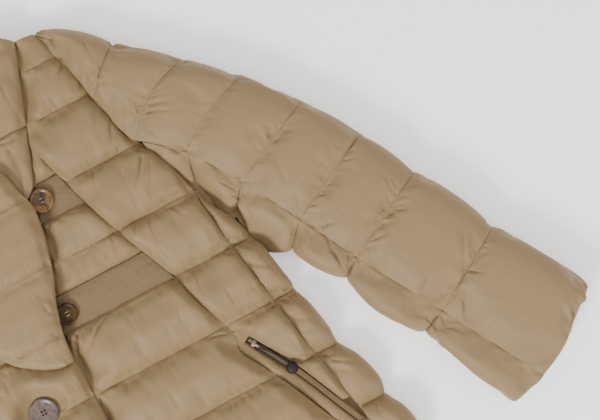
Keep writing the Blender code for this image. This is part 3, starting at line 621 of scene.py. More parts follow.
def folded_skin(rings, stitched, offs, seed):
    """The skin of a panel that runs from a seam on top, round a fold and back along the floor.

    rings are (path, inside) pairs of points, from the seam to the floor's end and back to the seam, and
    offs their distances from the nearest stitching. The skin is a tube, open at both ends, whose last
    columns are its inside.
    """
    runs = [lengths_along(path) for path, _ in rings]
    columns = round(max(run[-1] for run in runs) / (STEP * MM))
    width = columns + len(rings[0][1]) + 2
    skin = bmesh.new()
    bmesh.ops.create_grid(skin, x_segments=width - 1, y_segments=len(rings) - 1, size=0.5)
    pin, along, off = (skin.verts.layers.float.new(name) for name in ("pin", "along", "off"))
    crease = skin.edges.layers.float.new("crease_edge")
    for number, vert in enumerate(skin.verts):
        row, column = divmod(number, width)
        vert[along] = column * STEP
        vert[off] = offs[row]
        path, inside = rings[row]
        if column > columns:
            vert.co = (*inside, path[0])[column - columns - 1]
            vert[pin] = HELD
        else:
            vert.co = point_on(path, runs[row], column / columns)
            held = column in (0, columns) or vert.co.z < ON_FLOOR * MM or row in (0, len(rings) - 1)
            vert[pin] = HELD if held else STITCHED if row in stitched else FREE
        ease(vert, pin, seed)
    for edge in skin.edges:
        inside = [v.index % width > columns or v.index % width in (0, columns) for v in edge.verts]
        edge[crease] = float(all(inside))
    crease_stitching(skin, pin)
    bmesh.ops.remove_doubles(skin, verts=skin.verts, dist=0.002 * MM)
    bmesh.ops.recalc_face_normals(skin, faces=skin.faces)
    return skin


def side_ring(solid, down, share, side):
    """The side piece's outline at this distance down, as a path round the fold and points of its inside."""
    seam, along = place(0, down), Vector((side, 0, 0))
    outline = cut_through(solid, seam, along)
    on_top = [i for i, p in enumerate(outline) if p[1] > (BACK_THICKNESS + 1) * MM]
    on_floor = [i for i, p in enumerate(outline) if p[1] < 0.3 * MM]
    start = min(on_top, key=lambda i: (round(outline[i][0], 5), -outline[i][1]))
    stop = min(on_floor, key=lambda i: outline[i][0])
    first, fold = outline[start][0], max(q for q, _ in outline)
    path = []
    for q, z in two_ways(outline, start, stop)[0]:
        filled = SIDE_BULGE * puff(share) * smooth((down - SIDE_FILLED) / FILLED_OVER)
        out = filled * smooth((q - first) / (fold - first))
        meet = SEAM_MEET * (q <= first)
        lift = seam_lift(SIDE_SEAM, down, (q - first) / MM) if z > BACK_THICKNESS * MM else 0
        path.append(seam + along * (q + (out - meet) * MM) + UP * (z + lift * MM))
    end, slit = outline[stop][0], fold - FOLD_RADIUS * MM
    slit = max(slit, end + LAYER_GAP * MM)
    low, high = UP * BACK_THICKNESS * MM, UP * (BACK_THICKNESS + LAYER_GAP) * MM
    corners = (seam + along * end + low, seam + along * slit + low, seam + along * slit + high)
    return path, (*corners, seam + along * outline[start][0] + high)


for seed, (side_name, side) in enumerate(SIDES, 5):
    solid = node_solid(f"{side_name}_side")
    downs, stitched, shares = stitched_rows(SIDE_LINES, STEP * ROW_LENGTH)
    rings = [side_ring(solid, down, share, side) for down, share in zip(downs, shares)]
    offs = [min(abs(line - down) for line in SIDE_LINES) for down in downs]
    solid.free()
    folds = list(SIDE_FOLDS if side == 1 else other_side(SIDE_FOLDS, seed))
    for line in SIDE_LINES[5:-1]:
        seam = abs(rings[min(range(len(downs)), key=lambda row: abs(downs[row] - line))][0][0].x) / MM
        at_seam = [fold._replace(across=fold.across + seam, to_across=fold.to_across + seam)
                   for fold in LOW_SIDE_FOLDS]
        folds += on_each_line(at_seam, [line], 4, seed)
    sew(f"{side_name}_side", folded_skin(rings, stitched, offs, seed), folds, 3.0, -0.3)

# ---------------------------------------------------------------- sleeves
# Each sleeve is a wide top piece over the outer fold and a narrow under piece round the inner fold, joined
# by a seam along the front. Seven lines of stitching run across the top piece, closer to square as the
# sleeve bends, and meet shorter lines on the under piece. The cuff is open, with no rib.

SLEEVE_LOFT = 24
STITCHED_HEIGHT = 17.3
# The share of its full height that a sleeve keeps at its stitching, and how steeply it rises from there.
TOP_RISE, UNDER_RISE = 0.86, 0.4
SLEEVE_POWER = 0.4
ARMPIT_DROP = 0.75
ARMHOLE_LAP = 1.5
ARMHOLE_SOFTNESS, TOP_SOFTNESS, UNDER_SOFTNESS = 0.4, 0.7, 0.8
SEAM_BLEND = 14
SEAM_GROOVE = 2
# The outline on a line is level up to its shoulder, so many radii inside the fold or at a share of a narrow
# piece. It then goes down round the fold, which is widest at this share of its height.
SHOULDER_IN, SHOULDER_SHARE = 2.2, 0.6
WIDEST = 0.45
# How many points it has: on the level part, down to the widest point, and under that to the floor.
ACROSS_TOP, ROUND_OVER, ROUND_UNDER = 13, 12, 8
# How far the cuff's mouth stands out along the sleeve, against the distance in from the outer fold.
CUFF_UPPER = ((0, 0), (30, -2), (40, -1), (46, 2.5), (60, 5), (72, 4.8), (88, 3), (99, 1), (109, 4),
              (119, 3), (137, 4))
CUFF_LOWER = ((0, 0), (21, -1), (30, 1), (41, 8), (47, 9), (57, 7), (65, 5), (72, 4.5), (99, 1), (109, 4),
              (119, 5), (137, 4))
# A stitching line's two ends, how far the down pushes the fold out above it, and how far it bows upwards.
SeamLine = namedtuple("SeamLine", "fold_across fold_down seam_across seam_down bulge bow")
TOP_SLEEVE = (
    SeamLine(172, 1, 168, 4, 0, 0),
    SeamLine(231, 49, 191, 88, 7, 0),
    SeamLine(287, 95, 208, 144, 3, 9),
    SeamLine(333, 137, 248, 177, 1.5, 5),
    SeamLine(373, 187, 281, 230, 0.5, 0),
    SeamLine(409, 243, 316, 290, 0.5, 0),
    SeamLine(438, 302, 347, 350, 2, 0),
    SeamLine(481, 387, 398, 437, 5, 0),
    SeamLine(539, 484, 456, 540, 4.5, 0),
)
UNDER_SLEEVE = (
    SeamLine(226, 218, 213, 149, 0, 0),
    SeamLine(236, 232, 248, 177, 5, 0),
    SeamLine(254, 268, 281, 230, 8, 0),
    SeamLine(295, 313, 316, 290, 11, 0),
    SeamLine(330, 364, 347, 350, 6, 0),
    SeamLine(374, 448, 398, 437, 11, 0),
    SeamLine(418, 550, 456, 540, 4, 0),
)
TOP_SLEEVE_FOLDS = folds_of(
    (180, 13, 180, 39, 3, 2), (194, 47, 189, 58, 2.5, 1.5), (209, 35, 209, 60, 4, 1.5),
    (195, 65, 187, 74, 3, 2), (211, 67, 203, 104, 4, 2), (203, 104, 199, 120, 3, 1.5),
    (206, 87, 206, 98, 3, 1), (217, 111, 205, 132, 6, -1.6), (241, 112, 267, 112, 3, 1.2),
    (226, 116, 268, 131, 3, 1.2), (231, 125, 269, 142, 3, 0.9), (226, 143, 228, 154, 2.5, 1.5),
    (311, 186, 310, 210, 3, 0.8), (322, 230, 320, 262, 5, 0.8), (324, 268, 318, 286, 3, 1),
    (376, 237, 372, 257, 3.5, 0.9), (382, 246, 380, 234, 3, 0.8), (331, 308, 347, 309, 3, 3),
    (346, 309, 349, 301, 3, 1.2), (342, 278, 353, 282, 2.5, 1.1), (331, 283, 343, 286, 2.5, 1),
    (349, 272, 365, 275, 2.5, 1.1), (379, 258, 394, 262, 2.5, 1), (385, 254, 397, 255, 2.5, 0.9),
    (410, 294, 408, 315, 3, 1.1), (415, 299, 416, 313, 2.5, 0.9), (403, 326, 420, 331, 3, 1.3),
    (410, 313, 419, 318, 2.5, 0.9), (417, 309, 428, 314, 2.5, 0.8), (366, 342, 389, 343, 3, 1.6),
    (356, 345, 372, 348, 3, 1.2), (375, 350, 368, 373, 4.5, 0.9), (401, 400, 385, 414, 3, 1.9),
    (451, 378, 436, 411, 3, 1.8), (459, 382, 447, 402, 3, 1), (460, 389, 451, 400, 3, 1),
    (466, 394, 473, 398, 2.5, 1), (460, 398, 471, 401, 2.5, 1), (436, 411, 453, 422, 3, 2),
    (434, 418, 428, 433, 4, 0.8), (420, 424, 411, 433, 3.5, 1.5), (421, 439, 413, 459, 3.5, 2.2),
    (418, 477, 431, 473, 3, 1.4), (431, 473, 450, 472, 4, 0.9), (432, 309, 441, 313, 2.5, 1),
    (427, 312, 441, 319, 2.5, 0.9),
)
UNDER_SLEEVE_FOLDS = folds_of(
    (232, 161, 229, 176, 3, 2), (234, 167, 246, 184, 3, 2.6), (236, 181, 234, 205, 4, -1),
    (266, 201, 259, 208, 3, 1.6), (266, 205, 264, 221, 3, 1.2), (264, 221, 274, 236, 3, 1.4),
    (293, 246, 282, 255, 3, 2), (306, 278, 299, 284, 3, 1.7), (275, 250, 270, 279, 5, 0.9),
    (327, 305, 306, 321, 3, 2.4), (321, 304, 316, 314, 3, 1.2), (332, 310, 328, 335, 3, 3.6),
    (329, 334, 331, 357, 3, 3.4), (342, 347, 333, 357, 3, 1.6), (373, 406, 364, 418, 3, 1.2),
    (395, 439, 394, 454, 3, 1.6), (394, 454, 406, 459, 3, 1.2), (385, 444, 377, 468, 3.5, 2.2),
    (381, 437, 384, 448, 3, 1.2),
)
# The armhole's seam, as (down, across) rows, down to the armpit.
ARMHOLE = ((0, 166), (40, 180), (64, 187), (89, 191), (122, 199), (144, 207))


def back_seam(line, position, side):
    """Where the sleeve's back seam runs, under this line of its top piece."""
    share = 0.5 * smooth((position - 2) / 2)
    return place(mix(line.seam_across, line.fold_across, share), mix(line.seam_down, line.fold_down, share),
                 side=side)


def line_at(lines, position):
    """The line at this count of lines from the sleeve's start, between two of them."""
    low = min(int(position), len(lines) - 2)
    return SeamLine(*(mix(a, b, position - low) for a, b in zip(lines[low], lines[low + 1])))


def cuff_slip(point, side, upper):
    """How far a point at the cuff moves along the sleeve: the cuff's back shows below its front."""
    outer = place(TOP_SLEEVE[-1].fold_across, TOP_SLEEVE[-1].fold_down, side=side)
    inner = place(TOP_SLEEVE[-1].seam_across, TOP_SLEEVE[-1].seam_down, side=side)
    before = place(TOP_SLEEVE[-2].seam_across, TOP_SLEEVE[-2].seam_down, side=side)
    reach = (point - outer).dot((inner - outer).normalized()) / MM
    slip = mix(value_at(CUFF_LOWER, reach), value_at(CUFF_UPPER, reach), upper)
    return (inner - before).normalized() * slip * MM


def top_crown(position):
    """How far the down raises the top sleeve, at this count of lines from the shoulder."""
    return SLEEVE_LOFT * smooth(0.25 + 0.75 * position)


def top_softness(position):
    """How full the top sleeve is at its front seam, against its crown."""
    return mix(ARMHOLE_SOFTNESS, TOP_SOFTNESS, smooth((position - 1.3) / 1.2))


def sleeve_ring(line, bulge, share, end, crown_height, softness, rise, drop, side, last, seam_height):
    """A sleeve piece's outline on one line, as a path round the fold and points of its inside.

    end is where the back seam lies on the floor, and drop lowers the outline towards the fold.
    """
    seam_across = line.seam_across
    if line.seam_down < ARMHOLE[-1][0]:
        seam_across = value_at(ARMHOLE, line.seam_down) - ARMHOLE_LAP
    seam = place(seam_across, line.seam_down, side=side)
    fold = place(line.fold_across, line.fold_down, side=side)
    along = (fold - seam).normalized()
    end = end + along * LAYER_GAP * MM
    run = (fold - seam).length / MM + bulge * puff(share)
    crown = mix(rise * crown_height, crown_height, puff(share, SLEEVE_POWER))
    top = STITCHED_HEIGHT + crown
    middle = WIDEST * top
    radius = min(FOLD_RADIUS, WIDEST * run)
    shoulder = max(SHOULDER_SHARE * run, run - SHOULDER_IN * FOLD_RADIUS)
    profile = []
    for k in range(ACROSS_TOP):
        q = shoulder * k / (ACROSS_TOP - 1)
        full = mix(softness, 1, sin(pi / 2 * min(1, q / (0.9 * shoulder))))
        profile.append((q, STITCHED_HEIGHT + crown * full))
    for k in range(1, ROUND_OVER + 1):
        turn = sin(pi / 2 * k / ROUND_OVER)
        profile.append((mix(shoulder, run, turn), middle + (top - middle) * sqrt(max(0, 1 - turn**2))))
    for k in range(1, ROUND_UNDER + 1):
        turn = pi / 2 * k / ROUND_UNDER
        profile.append((run - radius * (1 - cos(turn)), middle * (1 - sin(turn))))
    near_cuff = smooth((share - 0.6) / 0.4) if last else 0
    upwards = UP.cross(along) * side
    path = [seam + (along * q + UP * z + upwards * line.bow * sin(pi * q / run)) * MM for q, z in profile]
    slit = seam + along * (run - max(radius, 3)) * MM
    low, high = UP * BACK_THICKNESS * MM, UP * (BACK_THICKNESS + LAYER_GAP) * MM
    for point in path[: ACROSS_TOP + ROUND_OVER + 1]:
        reach = (point - seam).dot(along) / MM
        point.z *= 1 - drop * smooth((reach / run - 0.15) / 0.75)
        point.z = mix(seam_height * MM, point.z, smooth(reach / SEAM_BLEND))
    path[0].z -= SEAM_GROOVE * MM
    path.append(end)
    inside = [end + low, slit + low, slit + high, seam + high]
    for point in (*path, *inside):
        upper = smooth(point.z / MM - BACK_THICKNESS) if point in inside else smooth(point.z / (middle * MM))
        point += near_cuff * cuff_slip(point, side, upper)
    return path, inside


def sew_sleeve(node, lines, crown_height, rise, side, seed):
    """Makes a sleeve piece from its lines, with a crown of this height at each count of lines."""
    rings, stitched, offs = [], set(), []
    first = len(TOP_SLEEVE) - len(lines)
    for number, (before, after) in enumerate(zip(lines, lines[1:])):
        apart = hypot(after.seam_across - before.seam_across, after.seam_down - before.seam_down)
        stitched.add(len(rings))
        last = number == len(lines) - 2
        for share in (*drawn_in(round(apart / (STEP * ROW_LENGTH))), *[1.0] * last):
            offs.append(min(share, 1 - share) * apart)
            position = first + number + share
            end = back_seam(line_at(TOP_SLEEVE, position), position, side)
            line = line_at(lines, number + share)
            drop = ARMPIT_DROP * (1 - smooth((number + share - 2.4) / 0.8)) if lines is UNDER_SLEEVE else 0
            seam_full = top_softness(position)
            seam_crown = mix(TOP_RISE, 1, puff(share, SLEEVE_POWER)) * top_crown(position)
            seam_height = STITCHED_HEIGHT + seam_full * seam_crown
            softness = seam_full if lines is TOP_SLEEVE else UNDER_SOFTNESS
            rings.append(sleeve_ring(line, after.bulge, share, end, crown_height(number + share), softness,
                                     rise, drop, side, last, seam_height))
    folds = TOP_SLEEVE_FOLDS if lines is TOP_SLEEVE else UNDER_SLEEVE_FOLDS
    folds = folds if side == 1 else other_side(folds, seed)
    sew(node, folded_skin(rings, stitched, offs, seed), folds, 4.0, -0.8, 1.3)


def under_crown(position):
    """How far the down raises the under sleeve, at this count of lines from the armpit."""
    return 0.8 * SLEEVE_LOFT * mix(0.4, 1.0, smooth(position / 2))


for seed, (side_name, side) in enumerate(SIDES, 7):
    sew_sleeve(f"{side_name}_top_sleeve", TOP_SLEEVE, top_crown, TOP_RISE, side, seed)
    sew_sleeve(f"{side_name}_under_sleeve", UNDER_SLEEVE, under_crown, UNDER_RISE, side, seed)

# ---------------------------------------------------------------- collar and lapels
# The collar stands behind the neck and is filled like the fronts. Its front leaves lie open as lapels: the
# left on the left front, and the right across it, down to the first closed button.

LEFT_LAPEL_LINES = (0.7, 80.7, 148, 215.3, 269.9)
RIGHT_LAPEL_LINES = (0.7, 80.7, 148, 215.3, 282.6, 309.9)
# How far the left lapel's top corner reaches up to the collar's end, between these distances across.
GORGE = 7
GORGE_START, GORGE_END, GORGE_EASE = 118, 150, 12
LEFT_LAPEL_FOLDS = folds_of(
    (117, 36, 117, 68, 4, 1.2), (92, 93, 83, 142, 5, 3), (85, 85, 99, 88, 3, 2),
    (99, 88, 108, 83, 3, 1.5), (150, 11, 148, 32, 3, 0.9),
)
RIGHT_LAPEL_FOLDS = folds_of(
    (-53, 249, -56, 259, 3.5, 1.6), (-47, 236, -45, 241, 4, 1), (-7, 275, -3, 293, 3, 0.9),
    (-10, 284, -7, 294, 2.5, 0.9), (-18, 288, -13, 297, 2.5, 0.8), (-57, 265, -44, 261, 3, 1),
    (-49, 276, -39, 276, 3, 0.9), (-69, 179, -49, 179, 5, 0.7),
)

sew("collar", flat_skin("collar", (-58.5, -40, -20, 0, 9.5), 9), swell=3.0)
lapel_skin = flat_skin("left_lapel", LEFT_LAPEL_LINES, 10, ("right_lapel",), depth=8, rise=1.4)
for vert in lapel_skin.verts:
    if down_of(vert.co) < LEFT_LAPEL_LINES[0] + 1:
        across = vert.co.x / MM
        corner = smooth((across - GORGE_START) / GORGE_EASE) * smooth((GORGE_END - across) / GORGE_EASE)
        vert.co.y += GORGE * MM * corner
sew("left_lapel", lapel_skin, LEFT_LAPEL_FOLDS, 1.5, 0.5, 0.6)
lapel_skin = flat_skin("right_lapel", RIGHT_LAPEL_LINES, 11, depth=8, rise=1.3)
sew("right_lapel", lapel_skin, RIGHT_LAPEL_FOLDS, 1.5, 0.5, 0.5)

# ---------------------------------------------------------------- down filling
# Down is blown into each sewn channel until the cloth is taut between its stitching. All the panels are
# filled together, and then closed on their plain insides.

FRAMES = 14
STITCH_LENGTH = 2.6
THREAD = 0.32
# Three sizes of pucker, as width, height and reach from the line. They come in crowds of this width, and
# change over this span down the coat.
PUCKERS = ((6.5, 0.9, 7.5), (14.0, 1.0, 12.0), (34.0, 1.0, 17.0))
CROWD = 40.0
ROW_SPAN = 60
# A fold is a sharp trough with a ridge on its inner side, so that it laps outwards, and a low rim on the
# other: their heights as shares of its depth, and how many of its widths they lie out from it.
FOLD_SHARE, RIDGE, RIM = 1.1, 0.5, 0.15
RIDGE_OUT, RIM_OUT = 1.2, 1.5
# The net is made finer within this many of a fold's widths, and from a little before its start.
FINE_WIDTHS, FINE_BEFORE = 1.6, 0.1


def fill_with_down():
    """Blows up every panel against its seams and stitching, with the cloth simulation."""
    for panel in panels:
        cloth_of = panel.piece.modifiers.new("down", "CLOTH")
        settings = cloth_of.settings
        settings.quality = 5
        settings.mass = 0.3
        settings.air_damping = 1.0
        settings.tension_stiffness = settings.compression_stiffness = 15
        settings.shear_stiffness = 5
        settings.bending_stiffness = 3.0
        settings.vertex_group_mass = "sewn"
        settings.shrink_min = -0.03
        settings.use_pressure = True
        settings.uniform_pressure_force = 4
        settings.effector_weights.gravity = 0
        cloth_of.collision_settings.use_collision = False
        cloth_of.point_cache.frame_end = FRAMES + 1
    for number in range(1, FRAMES + 1):
        bpy.context.scene.frame_set(number)
    graph = bpy.context.evaluated_depsgraph_get()
    for panel in panels:
        filled = [vert.co.copy() for vert in panel.piece.evaluated_get(graph).data.vertices]
        for vert, goal in zip(panel.piece.data.vertices, filled):
            move = goal - vert.co
            vert.co += move * min(1.0, panel.swell * MM / max(move.length, 1e-9))
        panel.piece.modifiers.clear()
    bpy.context.scene.frame_set(1)


def turn_out(bm):
    """Makes a closed form's faces look outwards."""
    bmesh.ops.recalc_face_normals(bm, faces=bm.faces)
    if bm.calc_volume(signed=True) < 0:
        bmesh.ops.reverse_faces(bm, faces=bm.faces)


def close_ends(bm):
    """Closes a form's open ends with flat faces."""
    ends = bmesh.ops.holes_fill(bm, edges=[e for e in bm.edges if e.is_boundary])["faces"]
    bmesh.ops.triangulate(bm, faces=ends, ngon_method="EAR_CLIP")
    turn_out(bm)


def close_below(bm):
    """Closes a flat panel's skin with a wall all round and a plain underside."""
    floor = bm.verts.layers.float["floor"]
    rim = [e for e in bm.edges if e.is_boundary]
    grown = bmesh.ops.extrude_edge_only(bm, edges=rim)["geom"]
    for vert in (v for v in grown if isinstance(v, bmesh.types.BMVert)):
        vert.co.z = vert[floor]
    close_ends(bm)


def beside(fold, points, side):
    """For each point, how far along a fold it is, from 0 to 1, and how many widths out to its side."""
    start = place(fold.across, fold.down, side=side)
    end = place(fold.to_across, fold.to_down, side=side)
    length = (end - start).length
    dx, dy = (end - start).x / length, (end - start).y / length
    from_x, from_y = points[:, 0] - start.x, points[:, 1] - start.y
    run = (from_x * dx + from_y * dy) / length
    aside = (from_y * dx - from_x * dy) / (fold.width * MM)
    sway = 2.5 * noise.noise(Vector((fold.across / 7, fold.down / 7, fold.width)))
    outwards = 1 if dy * side < 0 else -1
    return run, outwards * aside / (0.75 + 0.5 * np.clip(run, 0, 1)) + sway * run * (1 - run)


def refine(bm, panel):
    """Halves the net around a panel's folds, so that they come out crisp."""
    points = np.array([vert.co for vert in bm.verts])
    near = np.zeros(len(points), dtype=bool)
    for fold in panel.folds:
        run, aside = beside(fold, points, panel.side)
        near |= (np.abs(aside) < FINE_WIDTHS) & (run > -FINE_BEFORE) & (run < 1.0)
    bm.verts.index_update()
    edges = [e for e in bm.edges if all(near[v.index] for v in e.verts)]
    bmesh.ops.subdivide_edges(bm, edges=edges, cuts=1, use_grid_fill=True)


def noise_on(points, slant, width, seed):
    """Noise for each point, which changes over this width along the rows."""
    across = points[:, 1] / (ROW_SPAN * MM)
    return np.array([noise.noise(Vector((a / width, y, seed))) for a, y in zip(slant, across)])


def shape_folds(panel, seed):
    """Presses folds into a filled panel: short puckers off its stitching, and the longer folds given."""
    mesh = panel.piece.data
    count = len(mesh.vertices)
    points, normals = np.empty(count * 3), np.empty(count * 3)
    mesh.vertices.foreach_get("co", points)
    mesh.vertex_normals.foreach_get("vector", normals)
    points, normals = points.reshape(-1, 3), normals.reshape(-1, 3)
    pins, along, off = (np.empty(count) for _ in range(3))
    for name, values in (("pin", pins), ("along", along), ("off", off)):
        mesh.attributes[name].data.foreach_get("value", values)
    free = np.clip(1 - pins, 0, 1)
    shift, troughs, ridges = np.zeros(count), np.zeros(count), np.zeros(count)
    slant = along + panel.lean * (panel.side if panel.lean > 0 else 1) * off
    crowd = noise_on(points, slant, CROWD, seed + 5)
    for width, height, reach in PUCKERS:
        bump = noise_on(points, slant, width, seed)
        bump -= 0.8 * np.clip(1 - 2.5 * np.abs(bump), 0, 1) ** 2
        bump *= np.clip(0.7 + 2.4 * crowd, 0.1, 2.2)
        shift += panel.puckers * height * bump * np.exp(-((off / reach) ** 2))
    shift *= np.clip(2 * normals[:, 2], 0, 1)
    for fold in panel.folds:
        run, aside = beside(fold, points, panel.side)
        taper = np.clip((run + 0.15) / 0.2, 0, 1) * np.clip((1.1 - run) / 0.8, 0, 1)
        sides = RIDGE * np.exp(-((aside + RIDGE_OUT) ** 2)) + RIM * np.exp(-((aside - RIM_OUT) ** 2))
        shape = sides - np.exp(-2 * np.abs(aside))
        shape *= FOLD_SHARE * min(fold.depth, fold.width) * taper
        troughs, ridges = np.minimum(troughs, shape), np.maximum(ridges, shape)
    shift += troughs + ridges
    points += normals * (shift * free * MM)[:, None]
    mesh.vertices.foreach_set("co", points.ravel())


def add_stitching(name, pairs):
    """A row of stitches in the shell cloth's colour: a short taper of thread between each two points."""
    thread = bmesh.new()
    for start, end in pairs:
        turn = (end - start).to_track_quat("Z", "Y").to_matrix().to_4x4()
        bmesh.ops.create_cone(thread, cap_ends=True, segments=3, depth=STITCH_LENGTH * MM,
                              radius1=THREAD * MM, radius2=0.6 * THREAD * MM,
                              matrix=Matrix.Translation((start + end) / 2) @ turn)
    add_trim(name, thread, shell_cloth)


fill_with_down()
for seed, panel in enumerate(panels):
    piece = panel.piece
    sewn = {i for i, pin in enumerate(piece.data.attributes["pin"].data) if pin.value == STITCHED}
    stitches = [tuple(edge.vertices) for edge in piece.data.edges if sewn.issuperset(edge.vertices)]
    finer = piece.modifiers.new("finer", "SUBSURF")
    finer.levels = finer.render_levels = 1
    bm = applied(piece)
    if panel.folds:
        refine(bm, panel)
    give_back(bm, piece)
    shape_folds(panel, seed)
    bm = bmesh.new()
    bm.from_mesh(piece.data)
    spots = [vert.co.copy() for vert in bm.verts]
    add_stitching(f"{piece.name}_stitching", [(spots[i], spots[j]) for i, j in stitches])
    if "floor" in bm.verts.layers.float:
        close_below(bm)
    else:
        close_ends(bm)
    give_back(bm, piece)
    piece.data.shade_smooth()
    piece.data.set_sharp_from_angle(angle=radians(70))

# ---------------------------------------------------------------- button bands
# Two plain strips of matt facing cloth are sewn level on the left front, behind its two free buttons. They
# are cut like a trapezium between the front's edge and the seam, and lie a little slack.

BAND_STEP = 1.6
BAND_LINES = ((136.2, 175.8), (245.2, 283.8))
BAND_RIB, BAND_SLACK = 0.35, 0.8
BAND_COLOUR = (0.190, 0.124, 0.066, 1)
BAND_SHADE = (0.160, 0.104, 0.055, 1)

band_cloth = cloth("band_cloth", BAND_COLOUR, BAND_SHADE, 0.6, 0.85, 0.1, 0.8, 0.25)

for number, lines in enumerate(BAND_LINES, 1):
    node = f"button_band_{number}"
    bm = flat_skin(node, lines, 20 + number, ("left_lapel", "right_lapel", "right_front"), BAND_STEP, 0,
                   quilted=False)
    wide = max(v.co.x for v in bm.verts) - min(v.co.x for v in bm.verts)
    for vert in bm.verts:
        across, down = vert.co.x / MM, down_of(vert.co)
        rib = BAND_RIB * sin(down / 1.9) * noise.noise(Vector((across / 18, down / 9, number)))
        slack = BAND_SLACK * noise.noise(Vector((across / 25, down / 11, 7 * number)))
        vert.co.z += (rib + slack) * MM
    close_below(bm)
    band = add_piece(f"band_{number}", bm, band_cloth, node, slot="band_cloth")

# ---------------------------------------------------------------- pocket welts
# A folded strip of the shell cloth, topstitched along its middle, finishes the centre side of each slanted
# pocket. It is sewn into the princess seam.

WELT_STEP = 1.5
WELT_STITCHES = 44
WELT_SLACK = 0.35
# The folded end of the strip closes the pocket above its zip: a flat rectangle, stitched across its end.
POCKET_END = (208.5, 365)
POCKET_ALONG = (0.48, 0.88)
POCKET_END_SIZE = (15, 20, 4)
POCKET_END_TOP = 20.5
END_STITCHES = 3


def full_length(node):
    """A frame piece's first and last distance down."""
    downs = [down_of(v.co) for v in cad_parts[node].data.vertices]
    return min(downs) + 0.1, max(downs) - 0.1


def middle_line(node, count):
    """Points along the middle of a narrow slanted strip, from its top end down."""
    solid = node_solid(node)
    first, last = full_length(node)
    points = []
    for k in range(count + 1):
        down = mix(first + 6, last - 6, k / count)
        outline = cut_through(solid, place(0, down), Vector((1, 0, 0)))
        points.append(Vector((sum(ends_of(outline)) / 2, place(0, down).y, 0)))
    solid.free()
    return points


def add_box(bm, centre, along, size):
    """A box of this size in millimetres whose length runs along a direction."""
    turn = Matrix((along, UP.cross(along), UP)).transposed().to_4x4()
    placed = Matrix.Translation(centre) @ turn @ Matrix.Diagonal((*size, 1))
    bmesh.ops.create_cube(bm, size=MM, matrix=placed)


def add_pocket_end(side_name, side):
    """The stitched rectangle at the top of a pocket."""
    length, wide, thick = POCKET_END_SIZE
    along = Vector((side * POCKET_ALONG[0], -POCKET_ALONG[1], 0)).normalized()
    across = UP.cross(along)
    centre = place(*POCKET_END, POCKET_END_TOP - thick / 2, side)
    bm = bmesh.new()
    add_box(bm, centre, along, POCKET_END_SIZE)
    bmesh.ops.bevel(bm, geom=bm.edges[:], offset=1.2 * MM, segments=3, profile=0.5, affect="EDGES")
    add_trim(f"{side_name}_pocket_end", bm, shell_cloth).data.shade_smooth()
    edge = centre + (along * (length / 2 - 2) + UP * thick / 2) * MM
    half = (wide / 2 - 2) * MM
    row = [edge + across * mix(-half, half, k / END_STITCHES) for k in range(END_STITCHES + 1)]
    add_stitching(f"{side_name}_pocket_end_stitching", list(zip(row, row[1:])))


for side_name, side in SIDES:
    add_pocket_end(side_name, side)
    node = f"{side_name}_pocket_welt"
    bm = flat_skin(node, full_length(node), 31, (), WELT_STEP, 0, quilted=False)
    for vert in bm.verts:
        vert.co.z += WELT_SLACK * MM * noise.noise(vert.co * 160)
    close_below(bm)
    top = BVHTree.FromBMesh(bm)
    line = middle_line(node, WELT_STITCHES)
    row = [top.ray_cast(point + UP * 60 * MM, -UP)[0] for point in line]
    welt = add_piece(f"{side_name}_welt", bm, shell_cloth, node)
    add_stitching(f"{side_name}_welt_stitching", [(a, b) for a, b in zip(row, row[1:]) if a and b])

# ---------------------------------------------------------------- zips
# Each pocket closes with a metal zip: a woven tape 8 mm wide in the opening. Small nickel-copper teeth stand
# along its middle above the slider, and the closed part below it shows as a ribbed strip of tape.

TAPE_STEP = 1.3
TAPE_TOP = 14.8
TOOTH = (0.95, 1.9, 1.4)
RIB = (0.5, 5.2, 4.6)
TOOTH_PITCH = 0.8
TAPE_COLOUR = (0.240, 0.164, 0.090, 1)
TAPE_SHADE = (0.205, 0.139, 0.075, 1)


def metal(name, colour, roughness):
    """Brushed metal with a faint unevenness."""
    material = new_material(name, Metallic=1.0, Roughness=roughness)
    dark = tuple(0.72 * c for c in colour[:3]) + (1,)
    colour_between(material, add_noise(material, Scale=900.0, Detail=3.0), colour, dark)
    return material


zip_tape = cloth("zip_tape", TAPE_COLOUR, TAPE_SHADE, 0.7, 0.9, 0.05, 0.9, 0.1)
zip_metal = metal("zip_metal", (0.36, 0.27, 0.21, 1), 0.42)

for side_name, _ in SIDES:
    node = f"{side_name}_zip"
    bm = flat_skin(node, full_length(node), 33, (), TAPE_STEP, 0, quilted=False)
    close_below(bm)
    tape = add_piece(f"{side_name}_zip_tape", bm, zip_tape, node, slot="zip_tape")
    line = middle_line(node, 40)
    teeth, ribs = bmesh.new(), bmesh.new()
    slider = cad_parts[f"{side_name}_slider"].data.vertices
    slider_y = sum(v.co.y for v in slider) / len(slider)
    travelled, number = 0.0, 0
    for a, b in zip(line, line[1:]):
        stretch = (b - a).length / MM
        while travelled <= stretch:
            along = (b - a).normalized()
            spot = a.lerp(b, travelled / stretch) + UP * TAPE_TOP * MM
            if spot.y > slider_y:
                across = UP.cross(along) * (0.5 if number % 2 else -0.5) * MM
                add_box(teeth, spot + across + UP * TOOTH[2] / 2 * MM, along, TOOTH)
            else:
                add_box(ribs, spot + UP * RIB[2] / 2 * MM, along, RIB)
            travelled += TOOTH_PITCH
            number += 1
        travelled -= stretch
    add_trim(f"{side_name}_zip_teeth", teeth, zip_metal)
    add_trim(f"{side_name}_zip_ribs", ribs, zip_tape)

# ---------------------------------------------------------------- sliders
# A cast slider of the same metal at the top of each zip, with an arch that carries the pull.

SLIDER_EDGE = 0.35


